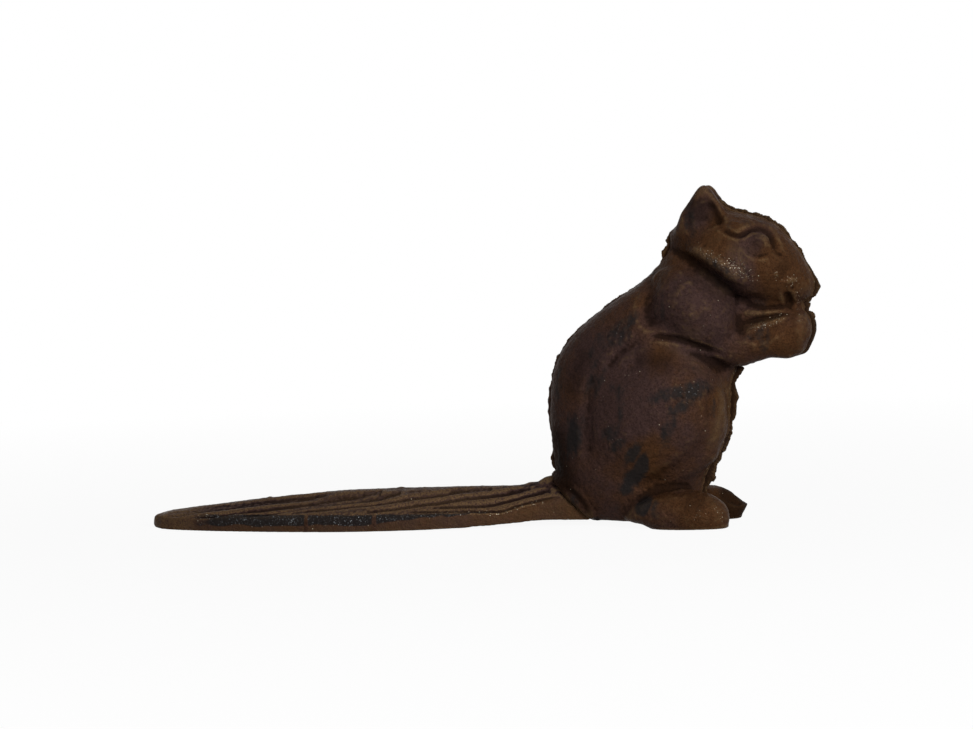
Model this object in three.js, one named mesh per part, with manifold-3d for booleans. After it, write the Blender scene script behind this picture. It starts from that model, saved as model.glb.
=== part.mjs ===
// Squirrel doorstop in cast iron: a sitting squirrel cast as two hollow halves that meet on the
// middle plane, a ribbed tail that lies flat as the wedge, and two screws that hold them together.
// Millimetres. +X is the way the squirrel faces, +Z is up, and the parting plane of the halves is Y = 0.
// The origin is on the floor, under the middle of the whole doorstop.
import * as THREE from "three";
import { mergeVertices } from "three/addons/utils/BufferGeometryUtils.js";
import Module from "manifold-3d";

const wasm = await Module();
wasm.setup();

// Figure
const FIGURE_HEIGHT = 121.8; // from the floor to the ears' tips
const FIGURE_HALF_WIDTH = 25; // from the parting plane to the outside of a haunch
const FOOT_STAGGER = 2.3; // the left foot stands this far ahead of its half
const LEFT_FOOT_SHARE = 0.86; // the left foot's height as a share of the right one's

// Casting
const WALL = 4.5;
const BASE_THICKNESS = 15; // solid iron from the rump's underside up to the cavity's floor
const MOULD_SHIFT = 1.2; // the left half is cast this far ahead of the right one, as its seam shows
const PARTING_GAP = 0.3; // between the two halves
const FIT = 0.3; // between any other two pieces that touch

// Tail wedge
const TAIL_LENGTH = 152; // from the rump to the tip
const TAIL_HALF_WIDTH = 21.5;
const TAIL_CREST = 14.6; // height of the ridge where the tail leaves the rump
const TAIL_LIFT = 2.4; // the underside's rise at the root, where it leaves the floor
const TAIL_EDGE = 6.2; // height of the side wall along the blade, over the outermost rib
const TAIL_ROOT_HALF_WIDTH = 10.5;
const RIB_COUNT = 12; // at the root
const RIB_DEPTH = 1.1;
const RIB_FAN = 45; // the ribs spread from a point this far ahead of the root
const RIB_FADE = 1.8; // the ribs run out over this distance from the side wall
const TONGUE_LENGTH = 27; // how far the tongue reaches into the rump
const TONGUE_HALF_WIDTH = 7;
const TONGUE_BOTTOM = 5.2;
const TONGUE_TOP = 13;
const TONGUE_ROOT = 3; // the part of its block that lies inside the blade
const COLLAR_RADIUS = 2.2; // raised bead on the rump, round the tail's root

// Screws: slotted cheese heads, put in from the left side, where each seat is a distance from the middle
const SCREW_TO_TONGUE_END = 7;
const BODY_SCREW = {
  x: 0.246 * FIGURE_HEIGHT,
  z: 0.378 * FIGURE_HEIGHT,
  shankR: 2.5,
  headR: 4.25,
  headH: 3.3,
  slot: 1.2,
  seat: 0.66 * FIGURE_HALF_WIDTH,
  grip: 30,
};
const TAIL_SCREW = {
  x: TONGUE_LENGTH - SCREW_TO_TONGUE_END,
  z: (TONGUE_BOTTOM + TONGUE_TOP) / 2,
  shankR: 2,
  headR: 3.5,
  headH: 2.6,
  slot: 1,
  seat: 0.464 * FIGURE_HALF_WIDTH,
  grip: 22,
};
const BOSS_WALL = 4; // iron round the long screw inside the cavity
const SLOT_DEPTH = 1.4;
const HOLE_END = 1.5; // free depth past a screw's tip

const PEG_RADIUS = 2.5; // locating peg between the forearms
const PEG_LENGTH = 3.5;

// The squirrel's forms, drawn forwards from the back of the rump and up from the floor.
// Places and sizes in the side view are hundredths of the figure's height, and those across it, half and y,
// are hundredths of its half width. A loft's station has two points in the side view, a and b, as [x, z].
const TRUNK = stations([
  { a: [9.9, 1.8], b: [42.7, 1.8], half: 56 },
  { a: [6.9, 4.9], b: [44.3, 4.9], half: 66.4 },
  { a: [3.6, 9.9], b: [45.2, 9.9], half: 76 },
  { a: [1.3, 16.4], b: [46.6, 16.4], half: 81.6 },
  { a: [0.5, 24.6], b: [51.4, 24.6], half: 83.2 },
  { a: [0, 32.8], b: [53.8, 32.8], half: 82.4 },
  { a: [0.5, 41.1], b: [54.6, 41.1], half: 79.2 },
  { a: [2.6, 49.3], b: [57.1, 49.3], half: 74.4 },
  { a: [8.5, 57.5], b: [57.5, 57.5], half: 68.8 },
  { a: [18.9, 65.7], b: [57.5, 65.7], half: 62.4 },
  { a: [29.2, 72.2], b: [56.7, 72.2], half: 53.6 },
  { a: [35, 78], b: [54.2, 78], half: 44 },
  { a: [37.8, 82.9], b: [50.9, 82.9], half: 30 },
]);
const HEAD = stations([
  { a: [37.4, 86.2], b: [38.2, 80], half: 20 },
  { a: [44.3, 91.5], b: [44.7, 79.2], half: 50 },
  { a: [53.4, 92.4], b: [52.1, 74.3], half: 65.6 },
  { a: [61.6, 90.8], b: [58.7, 68.1], half: 69.6 },
  { a: [68.6, 87.2], b: [64.9, 63.7], half: 62.4 },
  { a: [73.7, 81.3], b: [70.6, 63.2], half: 48.8 },
  { a: [77.5, 74.9], b: [75.2, 64.5], half: 34.4 },
  { a: [79.6, 71.1], b: [78.8, 66.8], half: 17.6 },
]);
const EAR = stations([
  { a: [38.4, 84.2], b: [56.4, 89.3], half: 28, y: 24 },
  { a: [41.1, 90.3], b: [54.2, 92.5], half: 24, y: 24.8 },
  { a: [44, 94.9], b: [52.3, 95.6], half: 19.2, y: 24 },
  { a: [46.2, 98.5], b: [50.8, 98.3], half: 12.8, y: 22.4 },
  { a: [47.8, 100], b: [49.3, 99.9], half: 4.8, y: 21.6 },
]);
const FOREARM = stations([
  { a: [48.4, 56.7], b: [49.3, 47.6], half: 24, y: 32 },
  { a: [56.7, 58.7], b: [57.5, 46.8], half: 29.6, y: 24 },
  { a: [65.7, 60.3], b: [66.1, 48.4], half: 28, y: 20 },
  { a: [72.2, 62.1], b: [72.7, 48.9], half: 25.6, y: 16 },
  { a: [76.6, 61.6], b: [76.8, 51.6], half: 18.4, y: 10 },
]);
const FOOT = stations([
  { a: [23.8, 5.3], b: [23.8, 2.1], half: 16, y: 58.4 },
  { a: [27.9, 9.4], b: [27.9, 1.3], half: 30.4, y: 60.8 },
  { a: [36.1, 11.8], b: [36.1, -2.5], half: 36, y: 61.6 },
  { a: [44.3, 11.3], b: [44.3, -3.3], half: 35.2, y: 61.6 },
  { a: [50.1, 9.4], b: [50.1, -2.8], half: 29.6, y: 60.8 },
  { a: [53.2, 6.6], b: [53.2, -1.1], half: 19.2, y: 60 },
  { a: [54.2, 4.1], b: [54.2, 1.3], half: 6.4, y: 60 },
]);
// An ellipsoid's rx lies along its tilt, in degrees above the forward direction.
const HAUNCH = form({ x: 31.4, y: 30, z: 31.2, rx: 24.8, ry: 70, rz: 21, tilt: 55 });
const UPPER_ARM = form({ x: 44.3, y: 28.8, z: 63.7, rx: 15.4, ry: 50.4, rz: 12.2, tilt: -44 });
const CHEEK = form({ x: 55.8, y: 21.6, z: 77.2, rx: 15.6, ry: 50.4, rz: 7.9, tilt: -35 });
const CHIN_WEB = form({ x: 63.2, y: 0, z: 61.6, rx: 13.5, ry: 37.6, rz: 7.9, tilt: 8 });
const PAW = form({ x: 74.3, y: 12, z: 56.3, rx: 4.7, ry: 28, rz: 7.1, tilt: 0 });
const EYE = form({ x: 64.4, y: 53.6, z: 82.4, rx: 4, ry: 11, rz: 3.1, tilt: -20 });
const EAR_HOLLOW = form({ x: 50.3, y: 48, z: 92, rx: 6.2, ry: 12, rz: 3, tilt: -62 });

// The tail's blade: places as shares of its length from the root, sizes as shares of its driving sizes.
const TAIL = [
  { along: -0.1, width: 0, edge: 0.7, crest: 1.05, lift: 1.04 },
  { along: 0, width: 0, edge: 0.46, crest: 1.02, lift: 1 },
  { along: 0.07, width: 0.25, edge: 0.16, crest: 0.98, lift: 0.84 },
  { along: 0.115, width: 0.4, edge: -0.06, crest: 0.97, lift: 0.64 },
  { along: 0.2, width: 0.66, edge: -0.03, crest: 0.96, lift: 0.33 },
  { along: 0.33, width: 0.92, edge: -0.02, crest: 0.94, lift: 0.12 },
  { along: 0.48, width: 1, edge: 0, crest: 0.89, lift: 0 },
  { along: 0.65, width: 0.86, edge: 0, crest: 0.78, lift: 0 },
  { along: 0.82, width: 0.46, edge: 0, crest: 0.63, lift: 0 },
  { along: 0.92, width: 0.06, edge: -0.03, crest: 0.5, lift: 0 },
  { along: 0.97, width: -0.3, edge: -0.08, crest: 0.42, lift: 0 },
  { along: 0.99, width: -0.58, edge: -0.2, crest: 0.335, lift: 0.05 },
  { along: 1, width: -0.8, edge: -0.42, crest: 0.2, lift: 0.3 },
];

// Mesh fineness
const TRUNK_MESH = { rings: 22, sides: 26 };
const HEAD_MESH = { rings: 16, sides: 24 };
const LIMB_MESH = { rings: 10, sides: 14 };
const BALL_MESH = { around: 24, across: 14 };
const SMALL_BALL_MESH = { around: 14, across: 8 };
const CAVITY_MESH = { rings: 12, sides: 16 };
const CAVITY_BALL_MESH = { around: 14, across: 10 };
const TAIL_RINGS = 30;
const POINTS_PER_RIB = 4;
const COLLAR_STEPS = 10;
const COLLAR_SIDES = 4; // facets in a quarter of the bead's section
const ROUND_SIDES = 24;
const FAR = 400; // a size past every piece, for cutting planes

const RIGHT = -1;
const LEFT = 1;

// A loft's table in millimetres.
function stations(table) {
  const [side, across] = [FIGURE_HEIGHT / 100, FIGURE_HALF_WIDTH / 100];
  const place = (point) => point.map((value) => value * side);
  return table.map(({ a, b, half, y = 0 }) => {
    return { a: place(a), b: place(b), half: half * across, y: y * across };
  });
}

// An ellipsoid's table in millimetres.
function form({ x, y, z, rx, ry, rz, tilt }) {
  const [side, across] = [FIGURE_HEIGHT / 100, FIGURE_HALF_WIDTH / 100];
  return { x: x * side, y: y * across, z: z * side, rx: rx * side, ry: ry * across, rz: rz * side, tilt };
}

// Solids and booleans

function solidOf(geometry) {
  const bare = new THREE.BufferGeometry();
  bare.setAttribute("position", geometry.getAttribute("position").clone());
  bare.setIndex(geometry.getIndex());
  const merged = mergeVertices(bare, 1e-4);
  const index = merged.getIndex().array;
  const triangles = [];
  for (let i = 0; i < index.length; i += 3) {
    const [p, q, r] = [index[i], index[i + 1], index[i + 2]];
    if (p !== q && q !== r && r !== p) triangles.push(p, q, r);
  }
  const vertProperties = new Float32Array(merged.getAttribute("position").array);
  const triVerts = new Uint32Array(triangles);
  const made = new wasm.Manifold(new wasm.Mesh({ numProp: 3, vertProperties, triVerts }));
  if (made.volume() > 0) return made;
  return new wasm.Manifold(new wasm.Mesh({ numProp: 3, vertProperties, triVerts: triVerts.reverse() }));
}

function geometryOf(solid) {
  const mesh = solid.getMesh();
  const geometry = new THREE.BufferGeometry();
  geometry.setAttribute("position", new THREE.BufferAttribute(mesh.vertProperties, 3));
  geometry.setIndex(new THREE.BufferAttribute(mesh.triVerts, 1));
  const flat = geometry.toNonIndexed();
  flat.computeVertexNormals();
  return flat;
}

const union = (solids) => solids.reduce((joined, solid) => joined.add(solid));

// A box between two corners.
function box(low, high) {
  const size = high.map((value, i) => value - low[i]);
  const geometry = new THREE.BoxGeometry(...size);
  geometry.translate(...low.map((value, i) => value + size[i] / 2));
  return solidOf(geometry);
}

const above = (z) => box([-FAR, -FAR, z], [FAR, FAR, FAR]);

// All that lies on one side of the parting plane, clear of it by half the gap.
function sideSpace(side, gap = PARTING_GAP) {
  const near = (side * gap) / 2;
  return box([-FAR, Math.min(near, side * FAR), -FAR], [FAR, Math.max(near, side * FAR), FAR]);
}

// A round bar along Y, at x and z, between two places on Y.
function bar(x, z, radius, from, to) {
  const geometry = new THREE.CylinderGeometry(radius, radius, Math.abs(to - from), ROUND_SIDES);
  geometry.translate(x, (from + to) / 2, z);
  return solidOf(geometry);
}

// An ellipsoid whose surface is moved inwards by the inset.
function ellipsoid(ball, side, mesh = BALL_MESH, inset = 0) {
  const geometry = new THREE.SphereGeometry(1, mesh.around, mesh.across);
  geometry.scale(ball.rx - inset, ball.ry - inset, ball.rz - inset);
  geometry.rotateY(THREE.MathUtils.degToRad(-ball.tilt));
  geometry.translate(ball.x, side * ball.y, ball.z);
  return solidOf(geometry);
}

// Closed skin over rings of points, with a flat or pointed fan at each end.
function skin(rings) {
  const sides = rings[0].length;
  const points = rings.flat();
  const middle = (ring) => ring.reduce((sum, p) => sum.add(p), new THREE.Vector3()).divideScalar(sides);
  const first = points.push(middle(rings[0])) - 1;
  const last = points.push(middle(rings.at(-1))) - 1;
  const index = [];
  for (let k = 0; k < sides; k++) {
    const next = (k + 1) % sides;
    for (let r = 0; r + 1 < rings.length; r++) {
      const [low, high] = [r * sides, (r + 1) * sides];
      index.push(low + k, low + next, high + next, low + k, high + next, high + k);
    }
    const top = (rings.length - 1) * sides;
    index.push(first, next, k, last, top + k, top + next);
  }
  const geometry = new THREE.BufferGeometry().setFromPoints(points);
  geometry.setIndex(index);
  return solidOf(geometry);
}

// The two edges and the half width of a loft as smooth curves through its stations.
function loftCurves(table, inset) {
  const shrunk = table
    .map(({ a, b, half, y }) => {
      const long = Math.hypot(a[0] - b[0], a[1] - b[1]) / 2;
      const keep = (long - inset) / long;
      const mid = [(a[0] + b[0]) / 2, (a[1] + b[1]) / 2];
      const edge = (p) => [mid[0] + (p[0] - mid[0]) * keep, mid[1] + (p[1] - mid[1]) * keep];
      return { a: edge(a), b: edge(b), half: half - inset, y, keep };
    })
    .filter((station) => station.keep > 0 && station.half > 0);
  const curve = (pick) => new THREE.CatmullRomCurve3(shrunk.map((s) => new THREE.Vector3(...pick(s))));
  return {
    a: curve((s) => [s.a[0], s.y, s.a[1]]),
    b: curve((s) => [s.b[0], s.y, s.b[1]]),
    half: curve((s) => [s.half, 0, 0]),
  };
}

// A loft of ellipses through the stations, on one side or, with a y of zero, across both.
function loft(table, side, mesh = LIMB_MESH, inset = 0) {
  const curves = loftCurves(table, inset);
  const rings = [];
  for (let r = 0; r <= mesh.rings; r++) {
    const t = r / mesh.rings;
    const [a, b] = [curves.a.getPoint(t), curves.b.getPoint(t)];
    const half = curves.half.getPoint(t).x;
    const ring = [];
    for (let k = 0; k < mesh.sides; k++) {
      const turn = (2 * Math.PI * k) / mesh.sides;
      const point = new THREE.Vector3().lerpVectors(a, b, (1 - Math.cos(turn)) / 2);
      point.y = side * point.y + half * Math.sin(turn);
      ring.push(point);
    }
    rings.push(ring);
  }
  return skin(rings);
}

// Forms of the squirrel

const ahead = (side) => [side === LEFT ? MOULD_SHIFT : 0, 0, 0];
const trunk = (inset = 0) => loft(TRUNK, RIGHT, TRUNK_MESH, inset);
const haunch = (side, inset = 0) => ellipsoid(HAUNCH, side, BALL_MESH, inset);

// The place on the rump's skin at a height and a distance from the middle plane.
function rumpPoint(y, z) {
  const curves = loftCurves(TRUNK, 0);
  let [low, high] = [0, 1];
  while (high - low > 1e-6) {
    const t = (low + high) / 2;
    if (curves.a.getPoint(t).z < z) low = t;
    else high = t;
  }
  const [a, b] = [curves.a.getPoint(low), curves.b.getPoint(low)];
  const share = Math.sqrt(Math.max(0, 1 - (y / curves.half.getPoint(low).x) ** 2));
  return new THREE.Vector3((a.x + b.x) / 2 - ((b.x - a.x) / 2) * share, y, z);
}

// Raised bead on the rump, from over the tail's root down to the underside.
function collar(side, inset = 0) {
  const crest = TAIL_CREST * TAIL[1].crest + COLLAR_RADIUS;
  const wide = TAIL_ROOT_HALF_WIDTH + COLLAR_RADIUS / 2;
  const floor = TRUNK[0].a[1] + COLLAR_RADIUS;
  const points = [];
  for (let k = 0; k <= 4; k++) {
    const turn = (Math.PI / 2) * (k / 4);
    points.push(rumpPoint(side * wide * Math.sin(turn), floor + (crest - floor) * Math.cos(turn)));
  }
  points.unshift(rumpPoint(-side * COLLAR_RADIUS, crest));
  const section = new THREE.Shape();
  section.absarc(0, 0, COLLAR_RADIUS - inset, 0, 2 * Math.PI);
  const geometry = new THREE.ExtrudeGeometry(section, {
    extrudePath: new THREE.CatmullRomCurve3(points),
    steps: COLLAR_STEPS,
    curveSegments: COLLAR_SIDES * 4,
  });
  return solidOf(geometry);
}

// The whole outside of one half, up to the parting plane.
function outside(side) {
  const [lead] = ahead(side);
  const ear = loft(EAR, side).subtract(ellipsoid(EAR_HOLLOW, side, SMALL_BALL_MESH)).translate([-lead, 0, 0]);
  const level = loft(FOOT, side);
  const foot = side === LEFT ? level.scale([1, 1, LEFT_FOOT_SHARE]).translate([FOOT_STAGGER, 0, 0]) : level;
  const forms = [
    trunk(),
    loft(HEAD, side, HEAD_MESH),
    haunch(side),
    collar(side),
    ear,
    loft(FOREARM, side),
    foot,
    ellipsoid(CHIN_WEB, side),
    ellipsoid(UPPER_ARM, side),
    ellipsoid(CHEEK, side),
    ellipsoid(PAW, side, SMALL_BALL_MESH),
    ellipsoid(EYE, side, SMALL_BALL_MESH),
  ];
  return union(forms).translate(ahead(side)).intersect(sideSpace(side)).intersect(above(0));
}

function cavity(side) {
  const floor = above(TRUNK[0].a[1] + BASE_THICKNESS);
  const chest = loft(TRUNK, side, CAVITY_MESH, WALL);
  const skull = loft(HEAD, side, CAVITY_MESH, WALL);
  const thigh = ellipsoid(HAUNCH, side, CAVITY_BALL_MESH, WALL);
  return union([chest, skull, thigh]).translate(ahead(side)).intersect(floor);
}

// Tail

// The tongue's block, grown by a clearance for its socket.
function tongue(grow = 0) {
  return box(
    [-TONGUE_ROOT, -TONGUE_HALF_WIDTH - grow, TONGUE_BOTTOM - grow],
    [TONGUE_LENGTH + grow, TONGUE_HALF_WIDTH + grow, TONGUE_TOP + grow],
  );
}

// The ribbed blade, flat underneath, lofted from inside the rump to the tip.
function blade() {
  const curve = (pick) => new THREE.CatmullRomCurve3(TAIL.map((s) => new THREE.Vector3(...pick(s))));
  const place = curve((s) => [-TAIL_LENGTH * s.along, 0, TAIL_LIFT * s.lift]);
  const widths = curve((s) => [
    TAIL_ROOT_HALF_WIDTH + (TAIL_HALF_WIDTH - TAIL_ROOT_HALF_WIDTH) * s.width,
    TAIL_EDGE + (TAIL_CREST - TAIL_EDGE) * s.edge,
    TAIL_CREST * s.crest,
  ]);
  const across = RIB_COUNT * POINTS_PER_RIB;
  const rings = [];
  for (let r = 0; r <= TAIL_RINGS; r++) {
    const { x, z: lift } = place.getPoint(r / TAIL_RINGS);
    const { x: half, y: edge, z: crest } = widths.getPoint(r / TAIL_RINGS);
    const depth = RIB_DEPTH * Math.min(1, half / TAIL_ROOT_HALF_WIDTH);
    const spread = TAIL_ROOT_HALF_WIDTH * (1 - x / RIB_FAN);
    const ring = [];
    for (let k = 0; k <= across; k++) {
      const lane = spread * ((2 * k) / across - 1);
      const y = k % across === 0 ? half * Math.sign(lane) : THREE.MathUtils.clamp(lane, -half, half);
      const fade = Math.min(1, (half - Math.abs(y)) / RIB_FADE);
      const groove = (depth * fade * (1 + Math.cos((2 * Math.PI * k) / POINTS_PER_RIB))) / 2;
      const top = edge + (crest - edge) * (1 - (y / half) ** 2);
      ring.push(new THREE.Vector3(x, y, top - groove));
    }
    const floor = Math.max(0, lift);
    ring.push(new THREE.Vector3(x, half, floor), new THREE.Vector3(x, -half, floor));
    rings.push(ring);
  }
  return skin(rings);
}

// Screws and what holds them

// A screw's hole through one half, with the head's recess on the left and a blind end on the right.
function screwHole(screw, side) {
  const radius = screw.shankR + FIT;
  if (side === RIGHT) return bar(screw.x, screw.z, radius, PARTING_GAP, screw.seat - screw.grip - HOLE_END);
  const recess = bar(screw.x, screw.z, screw.headR + FIT, screw.seat, FAR);
  return bar(screw.x, screw.z, radius, -PARTING_GAP, FAR).add(recess);
}

function screwSolid(screw) {
  const under = screw.seat + FIT;
  const top = under + screw.headH;
  const shank = bar(screw.x, screw.z, screw.shankR, screw.seat - screw.grip, under + screw.headH / 2);
  const slot = box(
    [screw.x - screw.headR * 2, top - SLOT_DEPTH, screw.z - screw.slot / 2],
    [screw.x + screw.headR * 2, top + FIT, screw.z + screw.slot / 2],
  );
  return bar(screw.x, screw.z, screw.headR, under, top).add(shank).subtract(slot);
}

// Finished pieces

function bodyHalf(side) {
  const whole = outside(side);
  const boss = bar(BODY_SCREW.x, BODY_SCREW.z, BODY_SCREW.headR + BOSS_WALL, 0, side * FAR);
  let half = whole.subtract(cavity(side)).add(boss.intersect(whole));
  half = half.subtract(tongue(FIT));
  half = half.subtract(screwHole(BODY_SCREW, side)).subtract(screwHole(TAIL_SCREW, side));
  const { a, b } = FOREARM[2];
  const [x, z] = [(a[0] + b[0]) / 2, (a[1] + b[1]) / 2];
  if (side === RIGHT) return half.add(bar(x, z, PEG_RADIUS, -PEG_LENGTH, PEG_LENGTH));
  return half.subtract(bar(x, z, PEG_RADIUS + FIT, -PARTING_GAP, PEG_LENGTH + FIT));
}

// What one half takes up at the tail's root, with the clearance round it.
function rumpForms(side) {
  const forms = [trunk(-FIT), haunch(side, -FIT), collar(side, -FIT)];
  return union(forms).translate(ahead(side));
}

function tailWedge() {
  const [right, left] = [rumpForms(RIGHT), rumpForms(LEFT)];
  const [near, far] = [right.intersect(sideSpace(RIGHT, 0)), left.intersect(sideSpace(LEFT, 0))];
  const rump = right.intersect(left).add(near).add(far);
  const hole = bar(TAIL_SCREW.x, TAIL_SCREW.z, TAIL_SCREW.shankR + FIT, -FAR, FAR);
  return blade().subtract(rump).add(tongue()).subtract(hole);
}

const castIron = new THREE.MeshStandardMaterial({ color: 0x3f281b, roughness: 0.55, metalness: 0.35 });
const tailIron = new THREE.MeshStandardMaterial({ color: 0x46301f, roughness: 0.58, metalness: 0.35 });
const screwSteel = new THREE.MeshStandardMaterial({ color: 0x2c2522, roughness: 0.45, metalness: 0.8 });

function piece(name, solid, material) {
  const mesh = new THREE.Mesh(geometryOf(solid), material);
  mesh.name = name;
  return mesh;
}

const doorstop = new THREE.Group();
doorstop.name = "squirrel_doorstop";
const figure = new THREE.Group();
figure.add(
  piece("right_body_half", bodyHalf(RIGHT), castIron),
  piece("left_body_half", bodyHalf(LEFT), castIron.clone()),
  piece("tail_wedge", tailWedge(), tailIron),
  piece("body_screw", screwSolid(BODY_SCREW), screwSteel),
  piece("tail_screw", screwSolid(TAIL_SCREW), screwSteel.clone()),
);
const extent = new THREE.Box3().setFromObject(figure);
figure.position.x = -(extent.min.x + extent.max.x) / 2;
doorstop.add(figure);

export default doorstop;
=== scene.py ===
"""Squirrel doorstop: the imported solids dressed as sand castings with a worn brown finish, on a pale stage."""
import math

import bmesh
import bpy
import numpy as np
from bpy.props import FloatProperty, FloatVectorProperty, IntProperty, PointerProperty
from mathutils import Matrix, Vector, noise
from mathutils.bvhtree import BVHTree


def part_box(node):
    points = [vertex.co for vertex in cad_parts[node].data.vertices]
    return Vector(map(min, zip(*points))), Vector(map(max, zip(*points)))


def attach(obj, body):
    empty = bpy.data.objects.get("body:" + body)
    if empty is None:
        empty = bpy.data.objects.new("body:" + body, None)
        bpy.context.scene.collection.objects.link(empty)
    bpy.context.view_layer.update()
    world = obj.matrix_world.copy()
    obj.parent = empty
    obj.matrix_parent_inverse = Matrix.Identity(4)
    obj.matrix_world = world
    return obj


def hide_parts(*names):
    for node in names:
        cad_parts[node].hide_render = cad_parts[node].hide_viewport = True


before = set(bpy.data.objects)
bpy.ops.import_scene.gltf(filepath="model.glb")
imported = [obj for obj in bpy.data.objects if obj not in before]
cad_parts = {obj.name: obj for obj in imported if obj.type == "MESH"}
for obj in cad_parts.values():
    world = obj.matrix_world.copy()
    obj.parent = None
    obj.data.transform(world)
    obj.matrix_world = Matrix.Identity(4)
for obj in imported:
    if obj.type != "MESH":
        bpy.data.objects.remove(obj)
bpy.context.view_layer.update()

bl_info = {
    "name": "Squirrel Doorstop",
    "version": (1, 0, 0),
    "blender": (4, 5, 0),
    "location": "View3D > Sidebar > Doorstop",
    "description": "Dresses the castings, the tail and the screws of a squirrel doorstop",
    "category": "Object",
}

MM = 0.001
IMAGE_WIDTH = 973  # pixels
SENSOR = 36.0  # mm
BODY = "root"
RIGHT, LEFT = -1, 1  # the way each half faces along y
TOE_SIDE = np.array((0.6, -0.8, 0.0))  # the way that the shown side of the left toe faces
SAME_POINT = 0.002 * MM  # points of a solid's loose triangles this close are one
PARTING = 0.2 * MM  # how near the parting plane a face of it lies
DEEP_INSIDE = 2 * MM  # how far from the outside a point counts as inside
SKIN_KEPT = 0.65  # share of a half's faces that is kept when its inside is thinned
FLOOR_RADIUS = 3.0  # metres
WHITE_FROM = 0.6  # distance in metres from which the floor is plain white
LAMPS_AIM = (0.03, 0, 0.05)  # the place that the lamps face, in metres
WHITE = (1.0, 1.0, 1.0, 1.0)

# Where shaping fades in or out, in mm
FREE_SIDE = (0.4, 2.2)  # distance from the parting plane, for softening the forms
FREE_SOLE = (0.25, 1.5)  # height above the floor, for the same
SCREW_SEAT = (5.5, 8.0)  # distance from a screw's axis, for the same
CARVED_SIDE = (0.6, 3.0)  # distance from the parting plane, for carving
LUMPY_SIDE = (0.4, 1.5)  # distance from the parting plane, for lumps
LUMPY_SOLE = (0.2, 1.2)  # height above the floor, for lumps
FLASH_SEAM = (0.3, 1.4)  # distance from the parting plane, for flash
FLASH_SOLE = (0.5, 4.0)  # height above the floor, for flash
TOE_TOP = (13, 16)  # height of the left toe
RIM_SEAM = (1.0, 4.5)  # distance from the parting plane, for rims: painted shade on the left, rubbed with a painted highlight on the right
FRONT_X = (74, 90)  # x of the figure's front, whose lip carries a painted highlight
LIP_PLACE, LIP_WIDTH = 1.8, 0.7  # of that lip, from the parting plane
TAIL_SOLE = (0.25, 1.2)  # height above the floor, for all that shapes the tail
TAIL_TOP = (4.6, 6.0)  # height from which the tail is smoothed
TAIL_TONGUE = (30, 36)  # x from which it isn't
TAIL_ROOT = (28, 34)  # x at which the grooves end
RIB_STEPS, REGAIN_STEPS = 160, 240  # steps that smooth the solid's ribs, and that spread what is given back

# Noise, each layer with its height, its size in mm and its seed
LUMPS = [(0.9, 9.0, 0), (0.7, 3.6, 3), (0.5, 1.4, 6)]
PITS = [(1.0, 1.2, 27), (0.6, 2.0, 28)]
STREAKS = [(0.45, 3.6, 15), (0.45, 1.6, 17)]


def linear(code):
    """An sRGB hex colour as linear red, green and blue."""
    parts = [int(code[i : i + 2], 16) / 255 for i in (1, 3, 5)]
    return tuple(c / 12.92 if c <= 0.04045 else ((c + 0.055) / 1.055) ** 2.4 for c in parts)


TABLE_BACK = 27.44  # x of the rump's back in the tables below, in mm

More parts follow.
